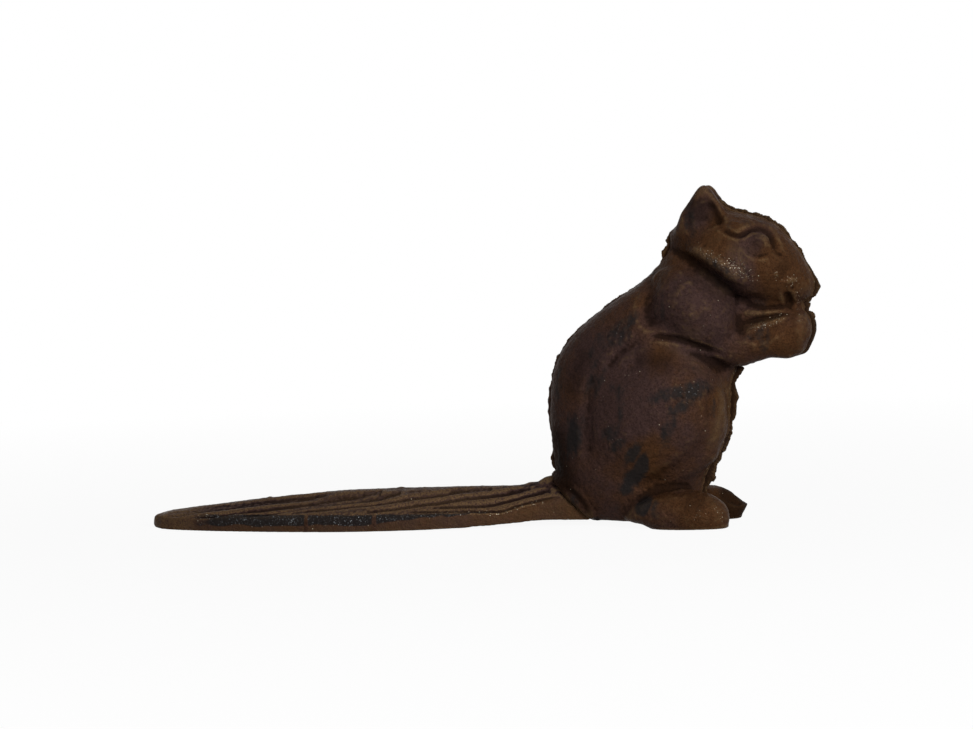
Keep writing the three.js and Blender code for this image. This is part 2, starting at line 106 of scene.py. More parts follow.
# Carving on the side of a half, in mm: half width, depth and points (x, z) of each line. A negative depth
# stands proud.
CARVING = [
    # ear: its dish, the dish's dark core along the front rim and the groove behind the back rim
    (6.6, 0.5, [(85.2, 115.2), (86.2, 112.0), (87.6, 108.8), (89.4, 106.6)]),
    (4.4, 0.9, [(86.8, 116.0), (88.4, 112.8), (89.9, 109.8), (91.4, 107.2)]),
    (2.3, 1.3, [(88.4, 116.4), (90.2, 113.4), (91.7, 110.4), (93.2, 107.6)]),
    (2.2, 0.6, [(82.8, 117.4), (81.0, 113.4), (81.1, 109.0), (81.8, 104.8)]),
    # brow, from the ear over the eye and down the muzzle, with a soft fold above it
    (1.6, 0.9, [(92.6, 106.8), (95.6, 104.8), (98.4, 103.7), (100.5, 103.9), (102.5, 105.2)]),
    (1.5, 0.9, [(100.0, 103.8), (102.5, 105.2), (105.1, 105.8),
                (107.8, 105.0), (109.9, 103.0), (111.3, 100.2)]),
    (1.7, 0.8, [(109.6, 103.4), (111.3, 100.2), (112.4, 97.3), (114.4, 95.4)]),
    (3.0, -0.4, [(96.0, 108.0), (100.5, 107.2), (105.2, 108.8), (109.5, 107.0), (113.0, 101.5)]),
    (1.4, 0.35, [(100.4, 101.6), (101.9, 98.8), (105.0, 96.4), (108.1, 96.6), (110.2, 98.3)]),
    # cheek: its ridge, the crease at the nape, and the wide valley between the head and the shoulder
    (3.8, -1.4, [(79.6, 100.4), (85.4, 97.8), (91.0, 94.2), (96.0, 90.4), (100.0, 88.0)]),
    (2.8, 0.9, [(72.8, 100.6), (76.0, 98.2), (80.1, 96.0), (83.0, 94.0)]),
    (6.6, 0.9, [(79.4, 95.6), (84.0, 91.6), (88.4, 87.6), (92.8, 83.4), (96.4, 80.4)]),
    # mouth, nostril, the bumps of the nose and the line of the jaw
    (2.2, 1.6, [(115.2, 82.8), (115.8, 80.2), (116.4, 77.4)]),
    (1.3, 0.8, [(117.2, 84.5), (117.8, 84.1)]),
    (1.2, -0.6, [(111.6, 89.4), (112.4, 89.2)]),
    (1.5, -0.8, [(115.2, 86.9), (116.6, 87.1), (118.4, 87.3)]),
    (2.0, 0.9, [(99.6, 80.4), (101.4, 79.2), (103.8, 78.3), (108.1, 77.4), (113.6, 77.6), (116.4, 78.2)]),
    # hand: the lip over it, the groove, the ridge of its fingers, the hollow under it and the wrist
    (1.5, -0.5, [(98.8, 75.9), (103.8, 75.8), (109.5, 76.0), (115.0, 76.2)]),
    (1.5, 0.9, [(100.1, 72.6), (105.2, 73.7), (110.1, 74.6), (115.0, 75.5)]),
    (2.0, -1.1, [(101.0, 70.0), (106.6, 71.5), (110.8, 72.5), (115.7, 74.1)]),
    (2.6, 0.6, [(101.0, 67.6), (105.0, 67.0), (110.6, 68.4)]),
    (2.8, 0.5, [(96.6, 77.0), (97.8, 73.4), (98.8, 69.6), (99.0, 66.0)]),
    # shoulder: its full form, its back edge and the fold under it
    (13.0, -0.9, [(76.0, 86.0), (81.0, 80.4), (86.0, 74.0)]),
    (4.8, 1.7, [(70.7, 93.6), (67.9, 88.3), (65.8, 82.1), (65.6, 77.4), (67.8, 73.8), (73.0, 70.6)]),
    (2.0, 1.2, [(66.4, 68.6), (70.6, 68.5), (76.5, 67.4), (82.3, 65.3), (87.9, 63.0), (92.8, 61.2)]),
    (3.6, 1.5, [(79.9, 64.1), (85.5, 60.9), (90.4, 57.0), (93.4, 54.0)]),
    # haunch: the folds over it, its front, the hip, the flank and the hollow over the foot
    (3.0, 0.75, [(51.3, 57.0), (54.0, 61.0), (58.9, 65.0), (64.7, 67.4)]),
    (2.8, 0.35, [(57.5, 54.7), (62.2, 59.3), (68.2, 62.0), (75.2, 62.7)]),
    (2.4, 0.25, [(60.0, 54.4), (65.4, 56.6), (71.4, 57.2), (76.0, 55.8)]),
    (3.0, 0.7, [(88.9, 51.4), (88.0, 44.5), (87.4, 37.4)]),
    (3.8, 0.9, [(47.5, 58.2), (44.7, 50.0), (43.3, 40.4), (43.3, 30.9), (44.4, 23.8)]),
    (2.4, 0.3, [(38.2, 42.3), (37.6, 33.7), (38.5, 25.1)]),
    (4.8, 1.4, [(63.4, 15.2), (69.5, 17.5), (76.7, 21.6), (82.7, 26.8), (87.5, 33.7)]),
    (2.8, 0.8, [(60.0, 10.8), (62.2, 11.1), (66.9, 13.0), (74.1, 14.1), (81.1, 13.7)]),
    # collar: its bead and the lump at its foot
    (2.2, -0.7, [(30.1, 17.6), (36.6, 14.8), (40.9, 10.7), (43.1, 6.4), (43.5, 2.2)]),
    (1.8, -0.7, [(38.9, 2.2), (42.5, 1.8), (46.9, 2.1)]),
]
# Carving on the toe of the left foot that shows past the right one
TOE_CARVING = [
    (1.8, 0.9, [(88.6, 8.2), (90.6, 7.4), (93.6, 5.6)]),
    (1.4, -0.5, [(86.5, 11.9), (91.1, 9.7), (95.2, 7.2)]),
]
# The eye in mm and degrees, with its dish, and its rings: place and half width in the eye's radii, depth in mm
EYE = {"x": 105.8, "z": 100.4, "long": 5.0, "high": 3.7, "tilt": -20.0, "dish": 1.1, "deep": 0.5}
EYE_RINGS = [(1.14, 0.22, 0.22), (0.76, 0.18, 0.15), (0.4, 0.16, 0.13)]

# Where the blending of forms is held back, and where it goes further, in mm: x, z, reach and how much
KEEP = [(86.0, 119.5, 6.0, 0.75), (92.0, 5.0, 6.0, 0.4), (122.0, 68.0, 8.0, 0.4)]
SOFTEN = [
    (76.0, 99.6, 5.0, 1.0),
    (81.0, 96.4, 4.5, 0.8),
    (66.0, 77.0, 8.0, 0.9),
    (72.0, 70.0, 6.0, 0.6),
    (56.0, 61.0, 8.0, 0.9),
    (64.0, 64.0, 8.0, 0.8),
    (46.0, 48.0, 9.0, 0.9),
    (42.5, 33.0, 9.0, 0.9),
    (52.0, 22.0, 9.0, 0.8),
    (86.8, 111.6, 5.6, 1.8),
    (98.2, 80.0, 3.4, 1.4),
]

# How far the skull rises to the ears' front edges, in mm: x, z, reach and height
EAR_WEB = [(89.0, 113.6, 3.6, 4.0)]
# Small shifts of the side outline, in mm: x, z, reach, and how far along x and z
SHIFTS = [
    (80.0, 113.0, 5.0, -0.7, 0.1),
    (122.8, 63.6, 3.4, -0.8, 0.4),
    (109.0, 59.0, 2.6, 0.0, 0.5),
    (115.6, 58.8, 2.6, 0.1, -0.5),
    (99.0, 56.4, 2.6, 0.2, -0.7),
]
# The same for the right half alone, whose forehead, muzzle and belly come nearly up to the flash
FRONT_SHIFTS = [
    (112.0, 105.5, 6.0, 0.4, 0.5),
    (117.5, 99.0, 6.0, 0.6, 0.3),
    (120.5, 92.0, 6.0, 0.6, 0.2),
    (92.0, 33.0, 5.0, 1.3, 0.0),
    (89.0, 23.6, 4.6, 2.0, -0.2),
]
# Casting flash on the parting line, in mm: x, z, reach, and extra width on the left and on the right half
FLASH = [
    (80.0, 116.0, 4.0, 0.3, 0.7),
    (91.8, 112.8, 2.6, 1.2, 0.8),
    (95.4, 112.1, 2.2, 1.1, 0.4),
    (99.2, 111.9, 1.6, 1.0, 0.2),
    (103.6, 111.2, 1.8, 1.6, 0.3),
    (107.0, 110.0, 3.0, 1.3, 0.2),
    (112.0, 106.0, 4.5, 1.2, 0.2),
    (117.4, 98.6, 4.0, 0.8, 0.1),
    (123.8, 84.0, 1.8, 1.5, 0.3),
    (120.6, 78.6, 2.0, 1.6, 0.3),
    (122.8, 74.4, 2.0, 1.9, 0.3),
    (122.4, 66.0, 3.0, 0.2, 0.0),
    (113.5, 58.6, 2.0, 1.6, 0.3),
    (101.0, 57.6, 3.0, 0.8, 0.2),
    (95.2, 55.6, 2.6, 2.0, 0.4),
    (94.2, 45.4, 2.2, 1.6, 0.2),
    (92.8, 40.0, 6.0, 1.7, 0.2),
    (92.0, 32.4, 2.4, 1.6, 0.2),
    (89.2, 27.4, 4.0, 2.1, 0.3),
    (86.4, 22.0, 3.6, 2.7, 0.4),
    (83.6, 17.0, 3.0, 3.2, 0.4),
    (72.4, 101.8, 1.8, 0.3, 2.8),
    (72.0, 97.6, 2.8, 0.3, 2.5),
    (28.4, 23.0, 2.8, 0.4, 2.0),
    (28.2, 18.2, 2.0, 0.3, 0.3),
    (27.4, 44.0, 9.0, 0.1, 0.9),
    (31.0, 58.0, 6.0, 0.1, 0.6),
    (38.0, 68.0, 5.0, 0.1, 0.5),
    (52.0, 84.0, 5.0, 0.1, 0.5),
]

# Patches where the brown is rubbed through to black, in mm: x, z, half length, half height, tilt and strength
WORN = [
    (81.0, 49.2, 7.0, 3.2, 4.0, 0.8),
    (75.0, 49.0, 8.0, 2.6, 16.0, 0.6),
    (79.0, 44.4, 6.0, 2.2, 34.0, 0.7),
    (53.0, 34.6, 3.6, 2.8, 50.0, 0.75),
    (54.8, 30.4, 4.0, 2.0, 40.0, 0.75),
    (60.4, 27.2, 4.6, 2.0, 50.0, 1.0),
    (63.6, 23.0, 4.0, 2.4, 70.0, 1.0),
    (59.6, 18.4, 4.2, 2.6, 55.0, 1.0),
    (57.2, 14.6, 2.6, 2.4, 20.0, 0.95),
    (63.6, 8.8, 3.4, 2.2, 60.0, 1.3),
    (57.2, 72.4, 8.0, 2.4, 42.0, 0.65),
    (55.0, 69.0, 6.0, 3.4, 40.0, 0.55),
    (38.2, 33.0, 3.6, 8.0, -14.0, 0.75),
    (33.0, 26.0, 1.8, 6.0, -10.0, 0.6),
    (47.0, 52.0, 3.0, 7.0, -30.0, 0.45),
    (88.6, 43.0, 1.4, 4.6, 4.0, 0.35),
    (81.4, 110.0, 2.0, 7.5, 4.0, 0.45),
    (104.0, 67.6, 4.0, 1.6, 10.0, 0.4),
    (93.0, 87.0, 5.0, 1.8, -45.0, 0.5),
    (92.0, 93.4, 7.0, 1.6, -36.0, 0.5),
    (99.6, 91.0, 4.0, 2.2, -20.0, 0.4),
    (42.8, 1.6, 5.4, 1.6, 0.0, 1.0),
]
# Patches where the casting is pitted, in the same terms
PITTED = [
    (79.0, 48.0, 9.0, 4.5, 8.0, 1.0),
    (56.0, 70.6, 7.0, 4.0, 45.0, 1.0),
    (54.0, 33.0, 5.0, 4.0, 50.0, 0.7),
    (108.0, 71.8, 8.0, 2.0, 14.0, 0.8),
    (92.0, 94.6, 9.0, 2.6, -32.0, 1.2),
    (100.5, 91.0, 5.0, 3.0, -15.0, 1.2),
]
# Lines darkened by painted shade and grime, and lines rubbed and painted brighter with highlights, in mm: half
# width, strength and points (x, z)
SHADED = [
    (1.8, 0.8, [(93.0, 106.4), (95.6, 104.8), (98.4, 103.7), (100.5, 103.9), (102.5, 105.2)]),
    (1.7, 0.8, [(102.5, 105.2), (105.1, 105.8), (107.8, 105.0),
                (109.9, 103.0), (111.3, 100.2), (112.6, 97.0)]),
    (7.0, 0.4, [(102.6, 101.6), (108.4, 99.2)]),
    (2.6, 0.9, [(26.0, 16.6), (31.6, 16.2), (36.8, 13.4), (40.8, 9.6), (43.2, 5.2), (44.2, 1.2)]),
    (2.6, 1.0, [(115.0, 83.4), (115.8, 80.2), (116.4, 77.4)]),
    (2.4, 0.9, [(38.0, 2.2), (42.5, 1.8), (47.0, 2.0)]),
    (7.0, 0.4, [(69.0, 96.0), (72.0, 91.0), (73.0, 86.0)]),
    (2.4, 0.9, [(88.4, 116.4), (90.2, 113.4), (91.7, 110.4), (93.2, 107.6)]),
    (4.0, 0.6, [(87.4, 115.4), (89.0, 112.0), (90.6, 108.6)]),
    (9.0, 0.7, [(84.0, 118.0), (85.0, 113.0), (86.4, 108.0)]),
    (10.0, 1.0, [(36.0, 10.0), (33.0, 18.0), (31.0, 28.0), (30.0, 38.0)]),
    (7.0, 0.55, [(44.0, 66.0), (40.0, 56.0), (37.0, 46.0)]),
    (7.0, 0.6, [(60.0, 61.0), (68.0, 60.0), (76.0, 58.0)]),
    (8.0, 0.5, [(112.0, 93.0), (116.0, 90.0)]),
    (8.0, 0.5, [(78.0, 10.0), (86.0, 8.0)]),
]
# rubbed wear with painted highlights, such as the lit belly strip, cheek ridge, temple and hand ridge
RUBBED_AND_LIT = [
    (4.2, 1.0, [(91.0, 52.0), (92.4, 46.0), (92.0, 39.6), (89.6, 33.0), (86.0, 26.0)]),
    (3.4, 0.8, [(84.0, 99.6), (89.0, 97.2), (94.0, 93.6), (99.0, 91.4), (102.4, 90.0)]),
    (2.2, 0.8, [(99.6, 70.4), (105.0, 71.6), (110.4, 72.8), (115.4, 74.2)]),
    (3.0, 0.5, [(84.0, 11.6), (87.4, 9.6), (90.4, 6.4), (92.6, 3.2)]),
    (3.0, 0.35, [(40.0, 71.0), (46.0, 76.6), (53.0, 82.0), (60.0, 86.0)]),
    (4.0, 0.35, [(68.0, 67.0), (76.0, 63.0), (83.0, 58.0), (88.0, 53.0)]),
    (6.0, 0.7, [(94.0, 99.0), (98.0, 97.4), (103.0, 93.6)]),
    (5.0, 0.35, [(89.0, 104.0), (93.0, 101.0)]),
    (7.0, 0.45, [(78.0, 71.0), (86.0, 67.0)]),
    (6.0, 0.4, [(84.0, 92.0), (90.0, 87.0), (95.0, 82.0)]),
]
# Where the finish is redder, or below 0 duller and greyer, in mm: x, z, reach and how much
WARM = [
    (113.0, 95.0, 9.0, 1.0),
    (104.6, 101.0, 6.0, -1.0),
    (101.0, 91.0, 5.0, -0.7),
    (98.0, 108.0, 8.0, 0.6),
    (110.0, 68.0, 8.0, 0.6),
    (118.0, 90.0, 7.0, 0.8),
    (90.0, 100.0, 7.0, 0.6),
    (71.0, 93.0, 8.0, 0.8),
    (66.0, 28.0, 9.0, 0.5),
    (72.0, 14.0, 8.0, 0.2),
    (86.0, 6.0, 8.0, 0.8),
    (92.0, 44.0, 6.0, 0.8),
    (72.0, 63.0, 7.0, 0.5),
    (50.0, 12.0, 8.0, -0.2),
    (79.0, 80.0, 11.0, -1.0),
    (84.0, 68.0, 9.0, -0.9),
    (92.0, 82.0, 7.0, -0.7),
    (50.0, 60.0, 11.0, -0.7),
    (62.0, 44.0, 12.0, -1.0),
    (46.0, 36.0, 10.0, -0.5),
    (86.0, 113.0, 6.0, -0.6),
]
# Places that glint, in mm: half width, strength and points (x, z)
GLINTS = [
    (2.6, 0.5, [(82.0, 101.4), (85.6, 99.8), (89.0, 97.8)]),
    (3.0, 0.8, [(87.6, 98.0), (91.6, 95.4), (95.4, 92.4)]),
    (3.6, 1.0, [(93.6, 95.2), (96.8, 93.6), (100.0, 91.2), (104.1, 88.6)]),
    (2.6, 1.2, [(98.0, 91.4), (101.4, 89.2)]),
    (2.2, 0.8, [(110.8, 89.8), (113.0, 88.9)]),
    (2.4, 1.0, [(114.2, 87.4), (116.6, 87.0), (118.8, 87.2)]),
    (1.3, 0.8, [(119.4, 84.6), (119.2, 81.0), (118.6, 77.6)]),
    (1.6, 0.6, [(118.6, 77.4), (119.4, 73.6)]),
    (2.0, 0.9, [(100.6, 70.0), (105.0, 71.2), (109.4, 72.4), (115.0, 74.2)]),
    (3.4, 0.25, [(77.0, 50.0), (84.6, 49.2)]),
    (3.0, 0.15, [(76.0, 43.0), (82.0, 46.0)]),
    (4.0, 0.2, [(54.0, 68.0), (58.0, 72.6)]),
    (3.2, 0.18, [(53.0, 34.6), (55.0, 30.4)]),
    (2.2, 0.5, [(79.5, 3.8), (82.2, 5.4), (84.8, 6.3)]),
    (1.6, 0.5, [(88.6, 8.4), (90.6, 5.6), (91.4, 2.6)]),
    (2.0, 0.25, [(58.0, 54.0), (64.0, 57.0)]),
]
# Grooves between the tail's ribs, on both of its sides, in the same terms as the carving of the halves
TAIL_CARVING = [
    (1.0, 1.4, [(-117.5, 5.0), (-113.0, 5.6), (-104.6, 7.0), (-95.5, 8.1),
                (-83.4, 9.3), (-69.2, 10.5), (-57.4, 11.7), (-51.8, 12.2)]),
    (1.0, 1.6, [(-109.4, 4.7), (-98.8, 5.6), (-89.6, 6.9), (-74.8, 8.4),
                (-64.8, 9.6), (-51.6, 11.1), (-44.2, 11.7), (-36.4, 12.4)]),
    (1.0, 1.6, [(-87.6, 5.8), (-79.8, 6.4), (-74.2, 6.9), (-67.6, 8.1),
                (-58.0, 9.4), (-46.2, 10.5), (-34.6, 11.4), (-29.0, 12.2)]),
    (1.0, 1.6, [(-66.4, 6.9), (-53.6, 8.2), (-45.6, 9.1), (-33.2, 10.1),
                (-23.6, 11.2), (-12.6, 12.0), (-7.4, 12.7), (4.8, 13.1)]),
    (1.1, 1.6, [(-38.0, 6.8), (-31.0, 7.9), (-21.8, 9.1), (-12.4, 9.9),
                (-3.2, 10.9), (5.2, 11.6), (14.8, 12.7), (19.0, 13.1)]),
    (1.1, 1.5, [(-14.0, 8.2), (-4.6, 8.4), (3.6, 8.6), (11.6, 9.9), (19.4, 11.4), (26.8, 12.5)]),
    (0.8, 0.9, [(-22.0, 6.7), (-11.6, 6.8), (6.2, 6.4), (11.0, 6.5), (16.0, 7.8), (23.8, 9.7), (32.0, 11.0)]),
    (0.7, -0.4, [(-11.6, 6.1), (3.0, 5.7), (9.4, 5.4), (15.2, 6.8), (22.0, 8.4), (28.0, 8.6)]),
]
# The glinting edge of the walls at the root, in the same terms as the glints
TAIL_EDGE = (0.9, 1.0, [(-11.6, 6.2), (3.0, 5.8), (9.4, 5.4), (15.2, 6.9), (22.0, 8.6), (28.0, 8.4)])
# How far the crest stands proud along its length, in mm: x and height
TAIL_CREST = [(-95.0, 0.0), (-84.0, 0.3), (-60.0, 0.8), (-53.0, 0.9), (-30.0, 0.5), (0.0, 0.5), (30.0, 0.4)]
TAIL_BARS = [-61.0, -35.4]  # x of the small bars on the side walls, in mm
# Nubs of flash on the tail's crest, in mm: x, y, height and reach
TAIL_NUBS = [
    (-80.1, 0.0, 0.4, 1.2),
    (-30.1, 1.5, 0.4, 1.2),
    (-20.6, -1.0, 0.4, 1.2),
    (19.0, 0.6, 0.8, 2.5),
    (25.0, -0.5, 2.2, 3.4),
    (29.0, 0.5, 2.2, 3.0),
]
TAIL_SPECK = (-119.4, 5.6)  # x and z of a painted highlight at the tip, in mm


class DoorstopSizes(bpy.types.PropertyGroup):
    """Sizes of the castings' skin."""

    skin: FloatProperty(
        name="Skin", description="Mesh size of the castings", default=0.46 * MM, unit="LENGTH", precision=5
    )
    blend: IntProperty(
        name="Blend", description="Steps that round the forms into each other", default=60, min=0
    )
    soften: IntProperty(
        name="Soften", description="Further steps where the forms run together", default=160, min=0
    )
    carving: FloatProperty(
        name="Carving", description="Depth of the carved lines", default=1.0, subtype="FACTOR"
    )
    lumps: FloatProperty(
        name="Lumps", description="Height of the lumps", default=0.2 * MM, unit="LENGTH", precision=5
    )
    flash: FloatProperty(
        name="Flash", description="Least width of casting flash", default=0.4 * MM, unit="LENGTH", precision=5
    )


class DoorstopColours(bpy.types.PropertyGroup):
    """Colours of the finish."""

    brown: FloatVectorProperty(
        name="Brown", description="Finish", subtype="COLOR", size=3, default=linear("#482f1d")
    )
    plum: FloatVectorProperty(
        name="Plum", description="Duller finish", subtype="COLOR", size=3, default=linear("#402f2c")
    )
    rust: FloatVectorProperty(
        name="Rust", description="Warm bloom", subtype="COLOR", size=3, default=linear("#55371f")
    )
    black: FloatVectorProperty(
        name="Black", description="Worn places", subtype="COLOR", size=3, default=linear("#232222")
    )
    # grime in the grit, and painted shade in the hollows and on the shaded lines
    grime_and_shade: FloatVectorProperty(
        name="Grime and shade", description="Hollows", subtype="COLOR", size=3, default=linear("#150d09")
    )
    # wear on the high edges, and painted highlights on lit edges, strips, crests and the front lip
    rubbed_and_lit: FloatVectorProperty(
        name="Rubbed and lit", description="High edges", subtype="COLOR", size=3, default=linear("#6c553b")
    )
    # the colour of painted glints on the grains
    glint: FloatVectorProperty(
        name="Glint", description="Glinting grains", subtype="COLOR", size=3, default=linear("#cfc5ac")
    )
    # the colour of painted glints in worn places
    ash: FloatVectorProperty(
        name="Ash", description="Grains in worn places", subtype="COLOR", size=3, default=linear("#7c848d")
    )
    steel: FloatVectorProperty(
        name="Steel", description="Screws", subtype="COLOR", size=3, default=linear("#5b5652")
    )
    floor: FloatVectorProperty(
        name="Floor", description="Stage", subtype="COLOR", size=3, default=linear("#f6f6f6")
    )
    bounce: FloatVectorProperty(
        name="Bounce", description="Light off the stage", subtype="COLOR", size=3, default=linear("#8a8886")
    )


class DoorstopStage(bpy.types.PropertyGroup):
    """Camera and light."""

    yaw: FloatProperty(
        name="Yaw", description="Camera's turn towards the front", default=math.radians(11), subtype="ANGLE"
    )
    rise: FloatProperty(
        name="Rise", description="Camera's height angle", default=math.radians(3.5), subtype="ANGLE"
    )
    roll: FloatProperty(
        name="Roll", description="Camera's roll", default=math.radians(-1.769), subtype="ANGLE"
    )
    distance: FloatProperty(name="Distance", description="Camera to the aim", default=1.0, unit="LENGTH")
    aim_x: FloatProperty(
        name="Aim X", description="Aim behind the rump", default=-23.2 * MM, unit="LENGTH", precision=5
    )
    aim_z: FloatProperty(
        name="Aim Z", description="Aim's height", default=58.708 * MM, unit="LENGTH", precision=5
    )
    focal: FloatProperty(
        name="Focal", description="Focal length in picture widths", default=2731.27 / IMAGE_WIDTH
    )
    key: FloatProperty(name="Key", description="Key lamp", default=8.6, unit="POWER")
    fill: FloatProperty(name="Fill", description="Fill lamp", default=1.5, unit="POWER")
    back: FloatProperty(name="Back", description="Back lamp", default=0.5, unit="POWER")
    sky: FloatProperty(name="Sky", description="World's light", default=0.12)


# Mesh helpers


def copy_of_node(node, name):
    """A new object with the node's solid as one merged mesh."""
    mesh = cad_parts[node].data.copy()
    mesh.name = name
    mesh.materials.clear()
    bm = bmesh.new()
    bm.from_mesh(mesh)
    bmesh.ops.remove_doubles(bm, verts=bm.verts, dist=SAME_POINT)
    bm.to_mesh(mesh)
    bm.free()
    piece = bpy.data.objects.new(name, mesh)
    bpy.context.scene.collection.objects.link(piece)
    return piece


def apply_modifiers(piece):
    """Puts the result of the piece's modifiers in its mesh."""
    graph = bpy.context.evaluated_depsgraph_get()
    made = bpy.data.meshes.new_from_object(piece.evaluated_get(graph))
    old = piece.data
    name = old.name
    piece.modifiers.clear()
    piece.data = made
    bpy.data.meshes.remove(old)
    made.name = name
    if not made.vertices:
        raise RuntimeError(f"{piece.name}: its modifiers left nothing")


def connected(start):
    """All the points of a bmesh that edges join to this one."""
    found = {start}
    ends = [start]
    while ends:
        for edge in ends.pop().link_edges:
            for vert in edge.verts:
                if vert not in found:
                    found.add(vert)
                    ends.append(vert)
    return found


def give_skin(piece, size):
    """An even skin over the piece, by a voxel remesh, without the crumbs that a remesh can leave."""
    remesh = piece.modifiers.new("Skin", "REMESH")
    remesh.mode = "VOXEL"
    remesh.voxel_size = size
    remesh.adaptivity = 0.0
    apply_modifiers(piece)
    bm = bmesh.new()
    bm.from_mesh(piece.data)
    left = set(bm.verts)
    parts = []
    while left:
        parts.append(connected(next(iter(left))))
        left -= parts[-1]
    main = max(parts, key=len)
    bmesh.ops.delete(bm, geom=[v for v in bm.verts if v not in main], context="VERTS")
    bm.to_mesh(piece.data)
    bm.free()


def outer_skin(piece):
    """A search tree of the half's outside, without its parting face and its cavity."""
    bm = bmesh.new()
    bm.from_mesh(piece.data)
    flat = [f for f in bm.faces if all(abs(v.co.y) < PARTING for v in f.verts)]
    bmesh.ops.delete(bm, geom=flat, context="FACES")
    kept = connected(max(bm.verts, key=lambda v: v.co.z))
    bmesh.ops.delete(bm, geom=[v for v in bm.verts if v not in kept], context="VERTS")
    tree = BVHTree.FromBMesh(bm)
    bm.free()
    return tree


def inside_points(mesh, tree):
    """1 at the points in the cavity or on the parting face, away from the outside, and 0 at the others."""
    return np.array([tree.find_nearest(v.co, DEEP_INSIDE)[0] is None for v in mesh.vertices], float)


def thin_inside(piece, tree, share):
    """Fewer faces in the cavity and on the parting face, which no one sees."""
    group = piece.vertex_groups.new(name="inside")
    group.add(np.flatnonzero(inside_points(piece.data, tree)).tolist(), 1.0, "REPLACE")
    thin = piece.modifiers.new("Thin", "DECIMATE")
    thin.ratio = share
    thin.vertex_group = "inside"
    thin.vertex_group_factor = 1000  # the most that it takes, so that the inside goes first
    apply_modifiers(piece)
    piece.vertex_groups.clear()


def read(mesh, layer):
    """Positions in mm, or normals, of a mesh's points."""
    values = np.empty(len(mesh.vertices) * 3, np.float32)
    mesh.vertices.foreach_get(layer, values)
    return values.reshape(-1, 3).astype(float) / (MM if layer == "co" else 1)


def write(mesh, points):
    """Puts positions in mm in a mesh's points."""
    mesh.vertices.foreach_set("co", (points * MM).astype(np.float32).ravel())
    mesh.update()


def edges_of(mesh):
    """The two points of each edge."""
    pairs = np.empty(len(mesh.edges) * 2, np.int32)
    mesh.edges.foreach_get("vertices", pairs)
    return pairs.reshape(-1, 2)


def relax(values, pairs, steps, hold=None):
    """Each row drawn halfway to the mean of its neighbours, steps times, less where hold is near 1."""
    count = len(values)
    ends = np.concatenate([pairs[:, 0], pairs[:, 1]])
    others = np.concatenate([pairs[:, 1], pairs[:, 0]])
    degree = np.maximum(np.bincount(ends, minlength=count), 1)
    rate = 0.5 if hold is None else 0.5 * (1 - hold)[:, None]
    values = values.copy()
    for _ in range(steps):
        sums = [np.bincount(ends, weights=values[others, k], minlength=count) for k in range(values.shape[1])]
        values += rate * (np.stack(sums, 1) / degree[:, None] - values)
    return values


def ramp(values, low, high):
    """Smooth step from 0 at low to 1 at high."""
    t = np.clip((values - low) / (high - low), 0, 1)
    return t * t * (3 - 2 * t)


def line_through(points, steps=6):
    """A smooth line through a few points."""
    p = np.array([points[0], *points, points[-1]], float)
    t = np.linspace(0, 1, steps, endpoint=False)[:, None]
    parts = []
    for a, b, c, d in zip(p, p[1:], p[2:], p[3:]):
        square, cube = 2 * a - 5 * b + 4 * c - d, 3 * b - a - 3 * c + d
        parts.append(0.5 * (2 * b + (c - a) * t + square * t**2 + cube * t**3))
    return np.concatenate([*parts, p[-1:]])


def near_line(flat, points, width):
    """1 on a line through the points, in the side view, and 0 past its half width, with tapered ends."""
    line = line_through(points)
    low, high = line.min(0) - width, line.max(0) + width
    inside = np.nonzero(np.all((flat > low) & (flat < high), axis=1))[0]
    near = flat[inside]
    best = np.full(len(near), np.inf)
    along = np.zeros(len(near))
    pieces = len(line) - 1
    for i, (a, b) in enumerate(zip(line, line[1:])):
        step = b - a
        t = np.clip(((near - a) @ step) / max(step @ step, 1e-9), 0, 1)
        away = np.linalg.norm(near - a - t[:, None] * step, axis=1)
        closer = away < best
        best[closer] = away[closer]
        along[closer] = (i + t[closer]) / pieces
    bell = 0.5 + 0.5 * np.cos(np.pi * np.minimum(best / width, 1))
    values = np.zeros(len(flat))
    values[inside] = bell * (0.25 + 0.75 * ramp(np.minimum(along, 1 - along), 0, 0.25))
    return values


def spots(flat, table):
    """Sum of soft round spots: x, z, reach and height."""
    total = np.zeros(len(flat))
    for x, z, reach, height in table:
        total += height * np.exp(-((flat[:, 0] - x) ** 2 + (flat[:, 1] - z) ** 2) / reach**2)
    return total


def patches(flat, table):
    """Greatest of soft oval patches: x, z, half length, half height, tilt and strength."""
    total = np.zeros(len(flat))
    for x, z, long, high, tilt, strength in table:
        turn = math.radians(tilt)
        u = (flat[:, 0] - x) * math.cos(turn) + (flat[:, 1] - z) * math.sin(turn)
        v = (flat[:, 1] - z) * math.cos(turn) - (flat[:, 0] - x) * math.sin(turn)
        total = np.maximum(total, strength * np.clip(1.6 - np.hypot(u / long, v / high), 0, 1))
    return total


def rough(points, size, seed):
    """Noise from -1 to 1 with features of that size in mm."""
    shift = Vector((seed * 17.3, seed * 5.1, seed * 11.7))
    return np.array([noise.noise(Vector(p) / size + shift) for p in points])


def layers(points, table, seed):
    """Sum of layers of noise: height, size and seed of each."""
    total = np.zeros(len(points))
    for height, size, own in table:
        total += height * rough(points, size, seed + own)
    return total


def paint(mesh, name, values):
    """An attribute from 0 to 1 on a mesh's points, for its material."""
    layer = mesh.attributes.new(name, "FLOAT", "POINT")
    layer.data.foreach_set("value", np.clip(values, 0, 1).astype(np.float32))


